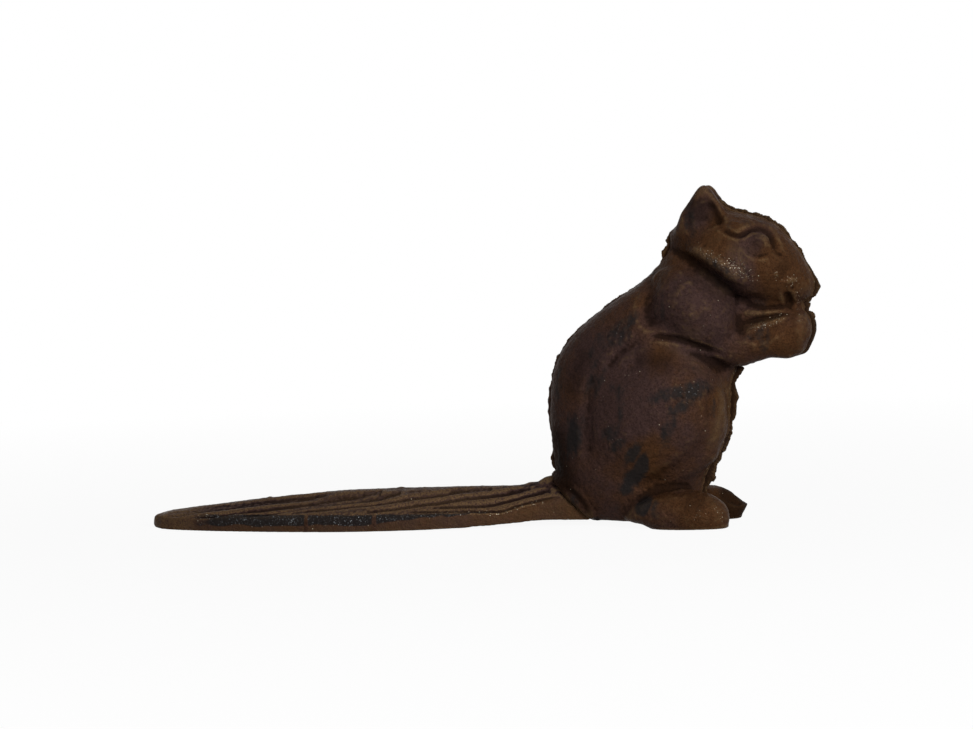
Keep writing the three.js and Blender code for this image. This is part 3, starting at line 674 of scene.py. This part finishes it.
def paint_relief(mesh, pairs, shaded=0.0, rubbed_and_lit=0.0, gain=1.0):
    """Paints grime and painted shade by how far each point lies in a hollow or is shaded, and wear and painted
    highlights by how far it stands out or is rubbed.
    """
    points = read(mesh, "co")
    normals = read(mesh, "normal")
    depth = np.sum((relax(points, pairs, 20) - points) * normals, 1) * gain
    wide = np.sum((relax(points, pairs, 140) - points) * normals, 1)
    # hollow: painted shade with grime in the hollows and on shaded lines; edge: wear with painted highlights on
    # what stands out
    paint(mesh, "hollow", np.maximum(np.maximum(depth / 0.15, wide / 2.6) - 0.1, shaded))
    paint(mesh, "edge", np.maximum(-depth / 0.16 - 0.25, rubbed_and_lit) * (1 - 0.85 * np.clip(shaded, 0, 1)))


def strongest(flat, table):
    """Greatest of soft lines: half width, strength and points."""
    total = np.zeros(len(flat))
    for width, strength, line in table:
        total = np.maximum(total, strength * near_line(flat, line, width))
    return total


def finish_piece(piece, node, material):
    """Puts the finish on, and tells the frame what the piece is."""
    piece.data.polygons.foreach_set("use_smooth", np.ones(len(piece.data.polygons), bool))
    piece.data.materials.append(material)
    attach(piece, BODY)
    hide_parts(node)


def still_points(start, side, outside):
    """1 at the points of a half that stay: inside, and by its parting face, sole and screws' seats."""
    still = 1 - ramp(np.abs(start[:, 1]), *FREE_SIDE) * ramp(start[:, 2], *FREE_SOLE) * outside
    if side == LEFT:
        for screw in ("body_screw", "tail_screw"):
            low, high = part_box(screw)
            middle = (low + high) / 2 / MM
            away = np.hypot(start[:, 0] - middle.x, start[:, 2] - middle.z)
            still = np.maximum(still, 1 - ramp(away, *SCREW_SEAT))
    return still


def blend_forms(mesh, pairs, shift, still, outside, sizes):
    """Rounds the forms of a half into each other, and gives back what that takes away."""
    start = read(mesh, "co")
    flat = start[:, [0, 2]] + shift
    hold = np.maximum(still, np.clip(spots(flat, KEEP), 0, 1))
    points = relax(start, pairs, sizes.blend, hold)
    write(mesh, points)
    normals = read(mesh, "normal")
    lost = np.sum((start - points) * normals, 1)[:, None]
    points += normals * relax(lost, pairs, sizes.blend * 2) * outside[:, None]
    firm = np.maximum(still, 1 - np.clip(spots(flat, SOFTEN), 0, 1))
    points[:, 1:2] = relax(points[:, 1:2], pairs, sizes.soften, firm)
    write(mesh, points)
    return points


def carved_depth(points, normals, flat, side):
    """Depth of the carved lines of a half, with its eye and the left half's toe."""
    depth = np.zeros(len(points))
    for width, deep, line in CARVING:
        depth += deep * near_line(flat, line, width)
    turn = math.radians(EYE["tilt"])
    across = flat - (EYE["x"], EYE["z"])
    u = (across[:, 0] * math.cos(turn) + across[:, 1] * math.sin(turn)) / EYE["long"]
    v = (across[:, 1] * math.cos(turn) - across[:, 0] * math.sin(turn)) / EYE["high"]
    radius = np.hypot(u, v)
    depth += EYE["deep"] * np.clip(1 - (radius / EYE["dish"]) ** 2, 0, 1)
    for place, width, deep in EYE_RINGS:
        depth += deep * np.clip(1 - np.abs(radius - place) / width, 0, 1)
    depth *= ramp(side * normals[:, 1], 0.05, 0.4) * ramp(np.abs(points[:, 1]), *CARVED_SIDE)
    if side == LEFT:
        front = ramp(normals @ TOE_SIDE, 0.1, 0.5) * ramp(flat[:, 0], 80, 86) * (1 - ramp(flat[:, 1], *TOE_TOP))
        for width, deep, line in TOE_CARVING:
            depth += deep * near_line(flat, line, width) * front
    return depth


def shape_left_toe(points, flat):
    """Brings the left toe forward and down, and undercuts its front."""
    toe = ramp(flat[:, 0], 86, 91) * (1 - ramp(flat[:, 1], *TOE_TOP))
    points[:, 0] += 0.5 * toe - 2.2 * ramp(flat[:, 0], 87, 96) * (1 - ramp(flat[:, 1], 0.5, 6))
    points[:, 2] -= (0.9 + 2.2 * ramp(flat[:, 0], 88, 96)) * toe * ramp(flat[:, 1], 4, 9)


def add_flash(points, normals, flat, side, sizes, outside, seed):
    """Ragged flash on a half, outwards from the parting line."""
    rim = (1 - ramp(np.abs(points[:, 1]), *FLASH_SEAM)) * outside
    outwards = normals * (1, 0, 1)
    outwards /= np.maximum(np.linalg.norm(outwards, axis=1), 0.35)[:, None]
    side_on = points * (1, 0, 1)
    ragged = 0.6 + 0.5 * rough(side_on, 3.4, seed + 9) + 0.5 * rough(side_on, 1.4, seed + 12)
    ragged = np.clip(ragged, 0.02, 2.0)
    extra = [(x, z, reach, left if side == LEFT else right) for x, z, reach, left, right in FLASH]
    wide = sizes.flash / MM * ragged + spots(flat, extra) * (0.6 + 0.4 * ragged)
    wide *= ramp(points[:, 2], *FLASH_SOLE)
    points += outwards * (rim * wide)[:, None]


def paint_half(mesh, pairs, points, normals, flat, side, seed):
    """Painted shade and grime, rubbed places with painted highlights, painted glints, warmth and worn patches
    of a half.
    """
    outer = ramp(side * normals[:, 1], 0.0, 0.3)
    streaky = 0.75 + 0.5 * rough(points, 2.2, seed + 21)
    # rubbed wear with painted highlights
    rubbed_and_lit = strongest(flat, RUBBED_AND_LIT) * outer * streaky
    shine = strongest(flat, GLINTS) * outer
    seam = 1 - ramp(np.abs(points[:, 1]), *RIM_SEAM)
    shaded = strongest(flat, SHADED) * outer
    # painted shade on the left half's rim by the parting line and on its toe
    if side == LEFT:
        toe = ramp(flat[:, 0], 84, 88) * (1 - ramp(flat[:, 1], 14, 18))
        shaded = np.maximum(shaded, np.maximum(seam, 0.9 * toe))
    else:
        # a painted highlight along the right half's front lip, and a lighter rim by the parting line
        front = ramp(flat[:, 0], *FRONT_X)
        lip = np.exp(-(((np.abs(points[:, 1]) - LIP_PLACE) / LIP_WIDTH) ** 2)) * front * np.clip(streaky, 0, 1)
        rubbed_and_lit = np.maximum(rubbed_and_lit, np.maximum(0.4 * seam * front * streaky, 1.5 * lip))
        shine = np.maximum(shine, 1.2 * lip)
    paint_relief(mesh, pairs, shaded, rubbed_and_lit)
    paint(mesh, "glint", shine)
    paint(mesh, "warm", 0.5 + 0.4 * spots(flat, WARM))
    streaked = points @ np.array(((0.7, 0, -0.7), (0, 1, 0), (0.25, 0, 0.25)))
    patchy = layers(streaked, STREAKS, seed) + 0.3 * rough(points, 0.9, seed + 18)
    blots = 0.5 * ramp(rough(streaked, 7.0, seed + 24), 0.25, 0.6)
    paint(mesh, "worn", np.maximum(patches(flat, WORN) * outer, blots) + patchy * 0.65 - 0.1)


def carve_half(piece, node, side, sizes, tree):
    """Rounds the forms of one half into each other, then adds its carving, lumps, flash and finish."""
    mesh = piece.data
    pairs = edges_of(mesh)
    seed = 1 if side == RIGHT else 2
    shift = np.array((TABLE_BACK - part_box(node)[0].x / MM, 0))
    outside = 1 - inside_points(mesh, tree)
    still = still_points(read(mesh, "co"), side, outside)
    points = blend_forms(mesh, pairs, shift, still, outside, sizes)

    normals = read(mesh, "normal")
    flat = points[:, [0, 2]] + shift
    depth = carved_depth(points, normals, flat, side)
    if side == LEFT:
        shape_left_toe(points, flat)
    points -= normals * (depth * sizes.carving)[:, None]
    for x, z, reach, along, up in SHIFTS + (FRONT_SHIFTS if side == RIGHT else []):
        points[:, [0, 2]] += (spots(flat, [(x, z, reach, 1.0)]) * outside)[:, None] * (along, up)
    web = spots(flat, EAR_WEB) * (1 - ramp(np.abs(points[:, 1]), 2, 8))
    points[:, 2] += web * ramp(normals[:, 2], 0, 0.4)
    points = relax(points, pairs, 3, still)

    lumps = layers(points, LUMPS, seed) + patches(flat, PITTED) * layers(points, PITS, seed)
    open_side = ramp(np.abs(points[:, 1]), *LUMPY_SIDE) * ramp(points[:, 2], *LUMPY_SOLE) * outside
    points += normals * (lumps * open_side * sizes.lumps / MM)[:, None]
    add_flash(points, normals, flat, side, sizes, outside, seed)
    points[:, 2] = np.maximum(points[:, 2], 0)
    write(mesh, points)
    paint_half(mesh, pairs, points, normals, points[:, [0, 2]] + shift, side, seed)


def smooth_ribs(mesh, pairs, start, floor):
    """Smooths the top of the tail, for finer grooves, and gives back what that takes away."""
    hold = np.maximum(1 - ramp(start[:, 2], *TAIL_TOP), ramp(start[:, 0], *TAIL_TONGUE))
    points = relax(start, pairs, RIB_STEPS, hold)
    write(mesh, points)
    normals = read(mesh, "normal")
    lost = np.sum((start - points) * normals, 1)[:, None]
    points += normals * relax(lost, pairs, REGAIN_STEPS)
    points = relax(points, pairs, 4, floor)
    write(mesh, points)
    return points


def groove_depth(points, normals):
    """Depth of the tail's grooves, which follow an even height fitted past what is left of the solid's ribs."""
    top = ramp(normals[:, 2], 0.15, 0.5) * ramp(np.abs(points[:, 1]), 1.5, 4.5)
    flat = points[:, [0, 2]]
    along, across = points[:, 0] / 100, (points[:, 1] / 20) ** 2
    terms = np.stack([along**i * across**j for i in range(7) for j in range(4)], 1)
    upper = (normals[:, 2] > 0.3) & (points[:, 0] < 32) & (points[:, 2] > 3)
    height = terms @ np.linalg.lstsq(terms[upper], points[upper, 2], rcond=None)[0]
    even = np.stack([points[:, 0], height], 1)
    depth = np.zeros(len(points))
    for width, deep, line in TAIL_CARVING:
        depth += deep * (near_line(even, line, width) * top if deep > 0 else near_line(flat, line, width))
    return depth


def paint_tail(mesh, pairs, points, normals, wall, bars):
    """The dark stripe on each wall, rubbed places with painted highlights, painted shade in the grooves,
    warmth, worn patches and painted glints of the tail.
    """
    x, z = points[:, 0], points[:, 2]
    side = ramp(np.abs(normals[:, 1]), 0.25, 0.5)
    ragged = 0.7 * rough(points, 5.0, 27) + 0.4 * rough(points * (0.4, 1, 1), 1.6, 28)
    low = 2.3 + ramp(x, -46, -4) * 3.2
    stripe = ramp(z + ragged, low - 0.3, low + 0.4) * (1 - ramp(z + 0.3 * ragged, 5.8, 6.4)) * side
    stripe *= ramp(x + 6 * ragged, -108, -96) * (1 - ramp(x, -2, 16)) * (1 - bars)
    # painted highlight on the upward-facing crests of the ribs
    crest = ramp(normals[:, 2], 0.3, 0.8) * ramp(x, -90, -60) * (1 - ramp(x, -5, 20))
    tip = 1 - ramp(x, -112, -96)
    rubbed_and_lit = np.maximum(np.maximum(0.35 * crest, 0.7 * tip), 0.35 * wall)
    rubbed_and_lit *= 1 - np.maximum(stripe, 0.6 * bars)
    # painted shade in the grooves and on the bars, and painted highlights on the ribs, made stronger by the
    # gain
    paint_relief(mesh, pairs, 0.25 * bars * wall, rubbed_and_lit, 3.4 - 3.0 * wall)
    paint(mesh, "warm", 0.3 + 0.2 * wall)
    patchy = 0.45 * rough(points * (0.4, 1, 1), 2.4, 30) + 0.35 * rough(points, 1.1, 33)
    patchy *= 1 - wall * (1 - stripe)
    blots = 0.2 * ramp(rough(points * (0.5, 1, 1), 6.0, 36), 0.3, 0.6) * (1 - wall)
    paint(mesh, "worn", np.maximum(stripe, blots) + patchy * 0.5 - 0.1)
    specks = np.exp(-(((z - 5.5) / 0.5) ** 2)) * side * ramp(x, -66, -50) * (1 - ramp(x, -8, 4))
    specks = np.maximum(0.3 * specks, np.exp(-(((z - 3.2) / 0.4) ** 2)) * stripe * 0.12)
    edge = strongest(points[:, [0, 2]], [TAIL_EDGE]) * (1 - ramp(normals[:, 2], 0.8, 0.95))
    speck = np.exp(-((x - TAIL_SPECK[0]) ** 2 + (z - TAIL_SPECK[1]) ** 2) / 0.5)
    paint(mesh, "glint", np.maximum(np.maximum(specks, edge), np.maximum(speck, 0.9 * stripe)))


def carve_tail(piece, sizes):
    """Smooths the solid's ribs, then adds the tail's grooves, lumps, side bars, crest, nubs and finish."""
    mesh = piece.data
    pairs = edges_of(mesh)
    start = read(mesh, "co")
    floor = 1 - ramp(start[:, 2], *TAIL_SOLE)
    points = smooth_ribs(mesh, pairs, start, floor)

    normals = read(mesh, "normal")
    wall = ramp(np.abs(normals[:, 1]), 0.6, 0.9)
    lumps = 0.8 * rough(points * (0.35, 1, 1), 2.6, 21) + 0.5 * rough(points, 1.3, 24)
    rise = lumps * sizes.lumps / MM * (1.2 - 0.7 * wall)
    rise -= groove_depth(points, normals) * sizes.carving * (1 - ramp(points[:, 0], *TAIL_ROOT))
    bars = np.zeros(len(points))
    for bar in TAIL_BARS:
        bars = np.maximum(bars, 1 - ramp(np.abs(points[:, 0] - bar), 0.5, 0.9))
    rise += 0.12 * wall * bars
    middle = (1 - ramp(np.abs(points[:, 1]), 3, 8)) * ramp(normals[:, 2], 0.2, 0.6)
    rise += np.interp(points[:, 0], *zip(*TAIL_CREST)) * middle
    for x, y, high, reach in TAIL_NUBS:
        away = np.hypot(points[:, 0] - x, 1.3 * (points[:, 1] - y)) / reach
        rise += high * np.exp(-(away**2)) * (normals[:, 2] > 0)
    points += normals * (rise * (1 - floor))[:, None]
    write(mesh, points)
    paint_tail(mesh, pairs, points, normals, wall, bars)


# Materials


def put(tree, kind, into=None, **settings):
    """Adds a node with its settings, and sets or links its inputs, each by its name or number."""
    made = tree.nodes.new(kind)
    for key, value in settings.items():
        setattr(made, key, value)
    for key, value in (into or {}).items():
        by_name = (s for s in made.inputs if s.enabled and s.name == key)
        socket = made.inputs[key] if isinstance(key, int) else next(by_name)
        if isinstance(value, bpy.types.Node):
            value = next(s for s in value.outputs if s.enabled)
        if isinstance(value, bpy.types.NodeSocket):
            tree.links.new(value, socket)
        else:
            socket.default_value = value
    return made


def new_material(name):
    """A material with an empty node tree."""
    material = bpy.data.materials.new(name)
    material.use_nodes = True
    material.node_tree.nodes.clear()
    return material, material.node_tree


def in_view(tree):
    """1 for what the camera, a reflection or glass shows, and 0 for what only lights the doorstop."""
    path = put(tree, "ShaderNodeLightPath")
    ways = {0: path.outputs["Is Camera Ray"], 1: path.outputs["Is Glossy Ray"]}
    seen = put(tree, "ShaderNodeMath", ways, operation="MAXIMUM")
    return put(tree, "ShaderNodeMath", {0: seen, 1: path.outputs["Is Transmission Ray"]}, operation="MAXIMUM")


def cast_iron(name, colours, bright):
    """Sand-cast iron under a rubbed brown finish.

    It looks sandy and half glossy, with grime and painted shade in the hollows, wear and painted highlights on
    the edges, painted glints, and patches worn to black.
    """
    material, tree = new_material(name)
    soft = {"interpolation_type": "SMOOTHSTEP"}
    place = put(tree, "ShaderNodeTexCoord").outputs["Object"]
    noises = []
    for size, detail, fine in ((14 * MM, 5.0, 0.62), (3.2 * MM, 4.0, 0.6), (0.6 * MM, 2.0, 0.7)):
        into = {"Vector": place, "Scale": 1 / size, "Detail": detail, "Roughness": fine}
        noises.append(put(tree, "ShaderNodeTexNoise", into))
    clouds, mottle, grit = noises
    # sand grains are finer than this, which is as small as shows
    grains = put(tree, "ShaderNodeTexVoronoi", {"Vector": place, "Scale": 1 / (0.5 * MM), "Randomness": 1.0})
    hollow, edge, worn, glint, warm = (
        put(tree, "ShaderNodeAttribute", attribute_name=layer).outputs["Fac"]
        for layer in ("hollow", "edge", "worn", "glint", "warm")
    )

    brown, plum, rust = ((*c, 1.0) for c in (colours.brown, colours.plum, colours.rust))
    black, grime_and_shade, rubbed_and_lit = ((*c, 1.0) for c in (colours.black, colours.grime_and_shade, colours.rubbed_and_lit))
    # brown over a duller plum, with warm bloom and dark grit
    amount = put(tree, "ShaderNodeMix", {"Factor": 0.6, "A": clouds, "B": warm})
    amount = put(tree, "ShaderNodeMapRange", {"Value": amount, "From Min": 0.38, "From Max": 0.62}, **soft)
    colour = put(tree, "ShaderNodeMix", {"Factor": amount, "A": plum, "B": brown}, data_type="RGBA")
    bloom = {"Value": mottle, "From Min": 0.5, "From Max": 0.75, "To Max": 0.2}
    amount = put(tree, "ShaderNodeMapRange", bloom, **soft)
    colour = put(tree, "ShaderNodeMix", {"Factor": amount, "A": colour, "B": rust}, data_type="RGBA")
    dirt = {"Value": grit, "From Min": 0.44, "From Max": 0.66, "To Max": 0.45}
    amount = put(tree, "ShaderNodeMapRange", dirt, **soft)
    colour = put(tree, "ShaderNodeMix", {"Factor": amount, "A": colour, "B": grime_and_shade}, data_type="RGBA")
    # worn places, grime and painted shade in the hollows, and rubbed edges with painted highlights
    through = {"Value": worn, "From Min": 0.06, "From Max": 0.78, "To Max": 0.88}
    patch = put(tree, "ShaderNodeMapRange", through, **soft)
    colour = put(tree, "ShaderNodeMix", {"Factor": patch, "A": colour, "B": black}, data_type="RGBA")
    deep = put(tree, "ShaderNodeMapRange", {"Value": hollow, "To Max": 0.7}, **soft)
    colour = put(tree, "ShaderNodeMix", {"Factor": deep, "A": colour, "B": grime_and_shade}, data_type="RGBA")
    high = put(tree, "ShaderNodeMapRange", {"Value": edge, "To Max": bright}, **soft)
    sandy = put(tree, "ShaderNodeMapRange", {"Value": grit, "From Min": 0.3, "From Max": 0.6}, **soft)
    high = put(tree, "ShaderNodeMath", {0: high, 1: sandy}, operation="MULTIPLY")
    kept = put(tree, "ShaderNodeMapRange", {"Value": patch, "From Max": 0.8, "To Min": 1.0, "To Max": 0.15})
    high = put(tree, "ShaderNodeMath", {0: high, 1: kept}, operation="MULTIPLY")
    colour = put(tree, "ShaderNodeMix", {"Factor": high, "A": colour, "B": rubbed_and_lit}, data_type="RGBA")
    # grains with painted glints: a few all over and many where the casting glints, most of them dull, ashen in
    # worn places
    chance = put(tree, "ShaderNodeSeparateColor", {"Color": grains.outputs["Color"]})
    needed = put(tree, "ShaderNodeMapRange", {"Value": glint, "To Min": 0.9985, "To Max": 0.4})
    chosen = put(tree, "ShaderNodeMath", {0: chance.outputs["Red"], 1: needed}, operation="GREATER_THAN")
    grain = put(tree, "ShaderNodeMapRange", {"Value": grains, "From Min": 0.45, "From Max": 0.2})
    speck = put(tree, "ShaderNodeMath", {0: chosen, 1: grain}, operation="MULTIPLY")
    shine = put(tree, "ShaderNodeMath", {0: chance.outputs["Green"], 1: 4.0}, operation="POWER")
    shine = put(tree, "ShaderNodeMapRange", {"Value": shine, "To Min": 0.15, "To Max": 0.9})
    speck = put(tree, "ShaderNodeMath", {0: speck, 1: shine}, operation="MULTIPLY")
    glint_tint = {"Factor": patch, "A": (*colours.glint, 1.0), "B": (*colours.ash, 1.0)}
    glint_tint = put(tree, "ShaderNodeMix", glint_tint, data_type="RGBA")
    colour = put(tree, "ShaderNodeMix", {"Factor": speck, "A": colour, "B": glint_tint}, data_type="RGBA")

    # half glossy, dull in the hollows, with the relief of sand and of a peeling finish
    sheen = {"Value": mottle, "From Min": 0.3, "From Max": 0.7, "To Min": 0.48, "To Max": 0.34}
    gloss = put(tree, "ShaderNodeMapRange", sheen)
    gloss = put(tree, "ShaderNodeMix", {"Factor": deep, "A": gloss, "B": 0.75})
    gloss = put(tree, "ShaderNodeMix", {"Factor": patch, "A": gloss, "B": 0.4})
    gloss = put(tree, "ShaderNodeMix", {"Factor": glint, "A": gloss, "B": 0.24})
    peel = put(tree, "ShaderNodeTexNoise", {"Vector": place, "Scale": 1 / (2.2 * MM), "Detail": 3.0})
    relief = put(tree, "ShaderNodeMix", {"Factor": 0.7, "A": grit, "B": peel})
    bump = put(tree, "ShaderNodeBump", {"Height": relief, "Strength": 1.0, "Distance": 1.0 * MM})
    metal = put(tree, "ShaderNodeMapRange", {"Value": speck, "To Min": 0.18})
    into = {"Base Color": colour, "Roughness": gloss, "Metallic": metal, "Normal": bump}
    shader = put(tree, "ShaderNodeBsdfPrincipled", into)
    shader.inputs["Specular Tint"].default_value = (0.25, 0.2, 0.16, 1.0)
    shader.inputs["Specular IOR Level"].default_value = 0.02
    put(tree, "ShaderNodeOutputMaterial", {"Surface": shader})
    return material


def screw_steel(name, colours):
    """Turned mild steel, oiled and dulled: a grey metal with a fine grain and brown stains."""
    material, tree = new_material(name)
    place = put(tree, "ShaderNodeTexCoord").outputs["Object"]
    stain = put(tree, "ShaderNodeTexNoise", {"Vector": place, "Scale": 1 / (2.5 * MM), "Detail": 4.0})
    grain = put(tree, "ShaderNodeTexNoise", {"Vector": place, "Scale": 1 / (0.4 * MM), "Detail": 2.0})
    steel, rust = (*colours.steel, 1.0), (*colours.rust, 1.0)
    colour = put(tree, "ShaderNodeMix", {"Factor": stain, "A": steel, "B": rust}, data_type="RGBA")
    sheen = {"Value": stain, "From Min": 0.3, "From Max": 0.7, "To Min": 0.32, "To Max": 0.6}
    gloss = put(tree, "ShaderNodeMapRange", sheen)
    bump = put(tree, "ShaderNodeBump", {"Height": grain, "Strength": 0.3, "Distance": 0.1 * MM})
    shader = put(tree, "ShaderNodeBsdfPrincipled", {"Base Color": colour, "Roughness": gloss, "Normal": bump})
    shader.inputs["Metallic"].default_value = 0.85
    put(tree, "ShaderNodeOutputMaterial", {"Surface": shader})
    return material


def stage_paper(name, colours, reach):
    """White paper: matt, taking the doorstop's shadow near it, plain white to the camera further out."""
    material, tree = new_material(name)
    place = put(tree, "ShaderNodeTexCoord").outputs["Object"]
    fibre = put(tree, "ShaderNodeTexNoise", {"Vector": place, "Scale": 1 / (2 * MM)})
    away = put(tree, "ShaderNodeVectorMath", {0: place}, operation="LENGTH").outputs["Value"]
    fade = {"Value": away, "From Min": reach * 0.2, "From Max": reach, "To Min": 0.93}
    far = put(tree, "ShaderNodeMapRange", fade)
    bump = put(tree, "ShaderNodeBump", {"Height": fibre, "Strength": 0.05, "Distance": 0.1 * MM})
    near = put(tree, "ShaderNodeBsdfDiffuse", {"Color": (*colours.floor, 1.0), "Normal": bump})
    white = put(tree, "ShaderNodeEmission", {"Color": WHITE, "Strength": 1.0})
    shown = put(tree, "ShaderNodeMixShader", {0: far, 1: near, 2: white})
    other = put(tree, "ShaderNodeBsdfDiffuse", {"Color": (*colours.bounce, 1.0)})
    both = put(tree, "ShaderNodeMixShader", {0: in_view(tree), 1: other, 2: shown})
    put(tree, "ShaderNodeOutputMaterial", {"Surface": both})
    return material


# Operators


class DOORSTOP_OT_body_halves(bpy.types.Operator):
    """Carve the two halves of the squirrel"""

    bl_idname = "doorstop.body_halves"
    bl_label = "Body Halves"

    def execute(self, context):
        sizes = context.scene.doorstop_sizes
        iron = cast_iron("Sand-cast iron, brown finish", context.scene.doorstop_colours, bright=0.6)
        for node, side in (("right_body_half", RIGHT), ("left_body_half", LEFT)):
            piece = copy_of_node(node, node + "_casting")
            tree = outer_skin(piece)
            give_skin(piece, sizes.skin * (1))
            thin_inside(piece, tree, SKIN_KEPT)
            carve_half(piece, node, side, sizes, tree)
            finish_piece(piece, node, iron)
        return {"FINISHED"}


class DOORSTOP_OT_tail(bpy.types.Operator):
    """Carve the ribbed tail"""

    bl_idname = "doorstop.tail"
    bl_label = "Tail"

    def execute(self, context):
        sizes = context.scene.doorstop_sizes
        # its ribs are rubbed, with painted highlights on their crests and painted shade in their grooves
        iron = cast_iron("Sand-cast iron, rubbed ribs", context.scene.doorstop_colours, bright=0.8)
        piece = copy_of_node("tail_wedge", "tail_wedge_casting")
        give_skin(piece, sizes.skin * (1))
        carve_tail(piece, sizes)
        finish_piece(piece, "tail_wedge", iron)
        return {"FINISHED"}


class DOORSTOP_OT_screws(bpy.types.Operator):
    """Give the screws their steel"""

    bl_idname = "doorstop.screws"
    bl_label = "Screws"

    def execute(self, context):
        steel = screw_steel("Turned steel, oiled", context.scene.doorstop_colours)
        for node in ("body_screw", "tail_screw"):
            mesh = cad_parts[node].data
            mesh.materials.clear()
            mesh.materials.append(steel)
        return {"FINISHED"}


class DOORSTOP_OT_stage(bpy.types.Operator):
    """Make the floor, the lamps and the camera"""

    bl_idname = "doorstop.stage"
    bl_label = "Stage"

    def execute(self, context):
        scene = context.scene
        stage = scene.doorstop_stage
        bm = bmesh.new()
        bmesh.ops.create_circle(bm, cap_ends=True, radius=FLOOR_RADIUS, segments=96)
        mesh = bpy.data.meshes.new("floor")
        bm.to_mesh(mesh)
        bm.free()
        floor = bpy.data.objects.new("floor", mesh)
        scene.collection.objects.link(floor)
        mesh.materials.append(stage_paper("White paper", scene.doorstop_colours, WHITE_FROM))

        # power in watts, size and place in metres
        lamps = (
            ("key", stage.key, 0.45, (0.66, -0.84, 0.44)),
            ("fill", stage.fill, 0.8, (0.1, -1.0, 0.16)),
            ("back", stage.back, 0.8, (-0.2, 0.8, 0.7)),
        )
        for name, power, size, spot in lamps:
            lamp = bpy.data.lights.new(name, "AREA")
            lamp.energy = power
            lamp.size = size
            holder = bpy.data.objects.new(name, lamp)
            holder.location = spot
            way = Vector(LAMPS_AIM) - Vector(spot)
            holder.rotation_euler = way.to_track_quat("-Z", "Y").to_euler()
            scene.collection.objects.link(holder)

        world = bpy.data.worlds.new("Studio")
        world.use_nodes = True
        tree = world.node_tree
        tree.nodes.clear()
        power = put(tree, "ShaderNodeMix", {"Factor": in_view(tree), "A": stage.sky, "B": 1.0})
        sky = put(tree, "ShaderNodeBackground", {"Color": WHITE, "Strength": power})
        put(tree, "ShaderNodeOutputWorld", {"Surface": sky})
        scene.world = world

        turn, rise = stage.yaw, stage.rise
        back = Vector((math.sin(turn) * math.cos(rise), -math.cos(turn) * math.cos(rise), math.sin(rise)))
        level = Vector((math.cos(turn), math.sin(turn), 0))
        right = math.cos(stage.roll) * level + math.sin(stage.roll) * back.cross(level)
        lens = bpy.data.cameras.new("camera")
        lens.sensor_width = SENSOR
        lens.lens = stage.focal * SENSOR
        lens.clip_start = 0.01
        camera = bpy.data.objects.new("camera", lens)
        aim = Vector((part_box("right_body_half")[0].x + stage.aim_x, 0, stage.aim_z))
        axes = Matrix((right, back.cross(right), back)).transposed().to_4x4()
        camera.matrix_world = Matrix.Translation(aim + back * stage.distance) @ axes
        scene.collection.objects.link(camera)
        scene.camera = camera
        scene.view_settings.view_transform = "Standard"
        return {"FINISHED"}


class DOORSTOP_PT_panel(bpy.types.Panel):
    """Lists the doorstop's settings and the steps that make it."""

    bl_idname = "DOORSTOP_PT_panel"
    bl_label = "Squirrel Doorstop"
    bl_space_type = "VIEW_3D"
    bl_region_type = "UI"
    bl_category = "Doorstop"

    def draw(self, context):
        for group in GROUPS:
            settings = getattr(context.scene, group)
            for name in settings.bl_rna.properties.keys():
                if name not in ("rna_type", "name"):
                    self.layout.prop(settings, name)
        for step in OPERATORS:
            self.layout.operator(step.bl_idname)


GROUPS = {
    "doorstop_sizes": DoorstopSizes,
    "doorstop_colours": DoorstopColours,
    "doorstop_stage": DoorstopStage,
}
OPERATORS = (DOORSTOP_OT_body_halves, DOORSTOP_OT_tail, DOORSTOP_OT_screws, DOORSTOP_OT_stage)


def register():
    for made in (*GROUPS.values(), *OPERATORS, DOORSTOP_PT_panel):
        bpy.utils.register_class(made)
    for name, group in GROUPS.items():
        setattr(bpy.types.Scene, name, PointerProperty(type=group))


def unregister():
    for name in GROUPS:
        delattr(bpy.types.Scene, name)
    for made in reversed((*GROUPS.values(), *OPERATORS, DOORSTOP_PT_panel)):
        bpy.utils.unregister_class(made)


def main():
    register()
    bpy.ops.doorstop.body_halves()
    bpy.ops.doorstop.tail()
    bpy.ops.doorstop.screws()
    bpy.ops.doorstop.stage()
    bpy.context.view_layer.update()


if __name__ == "__main__":
    main()
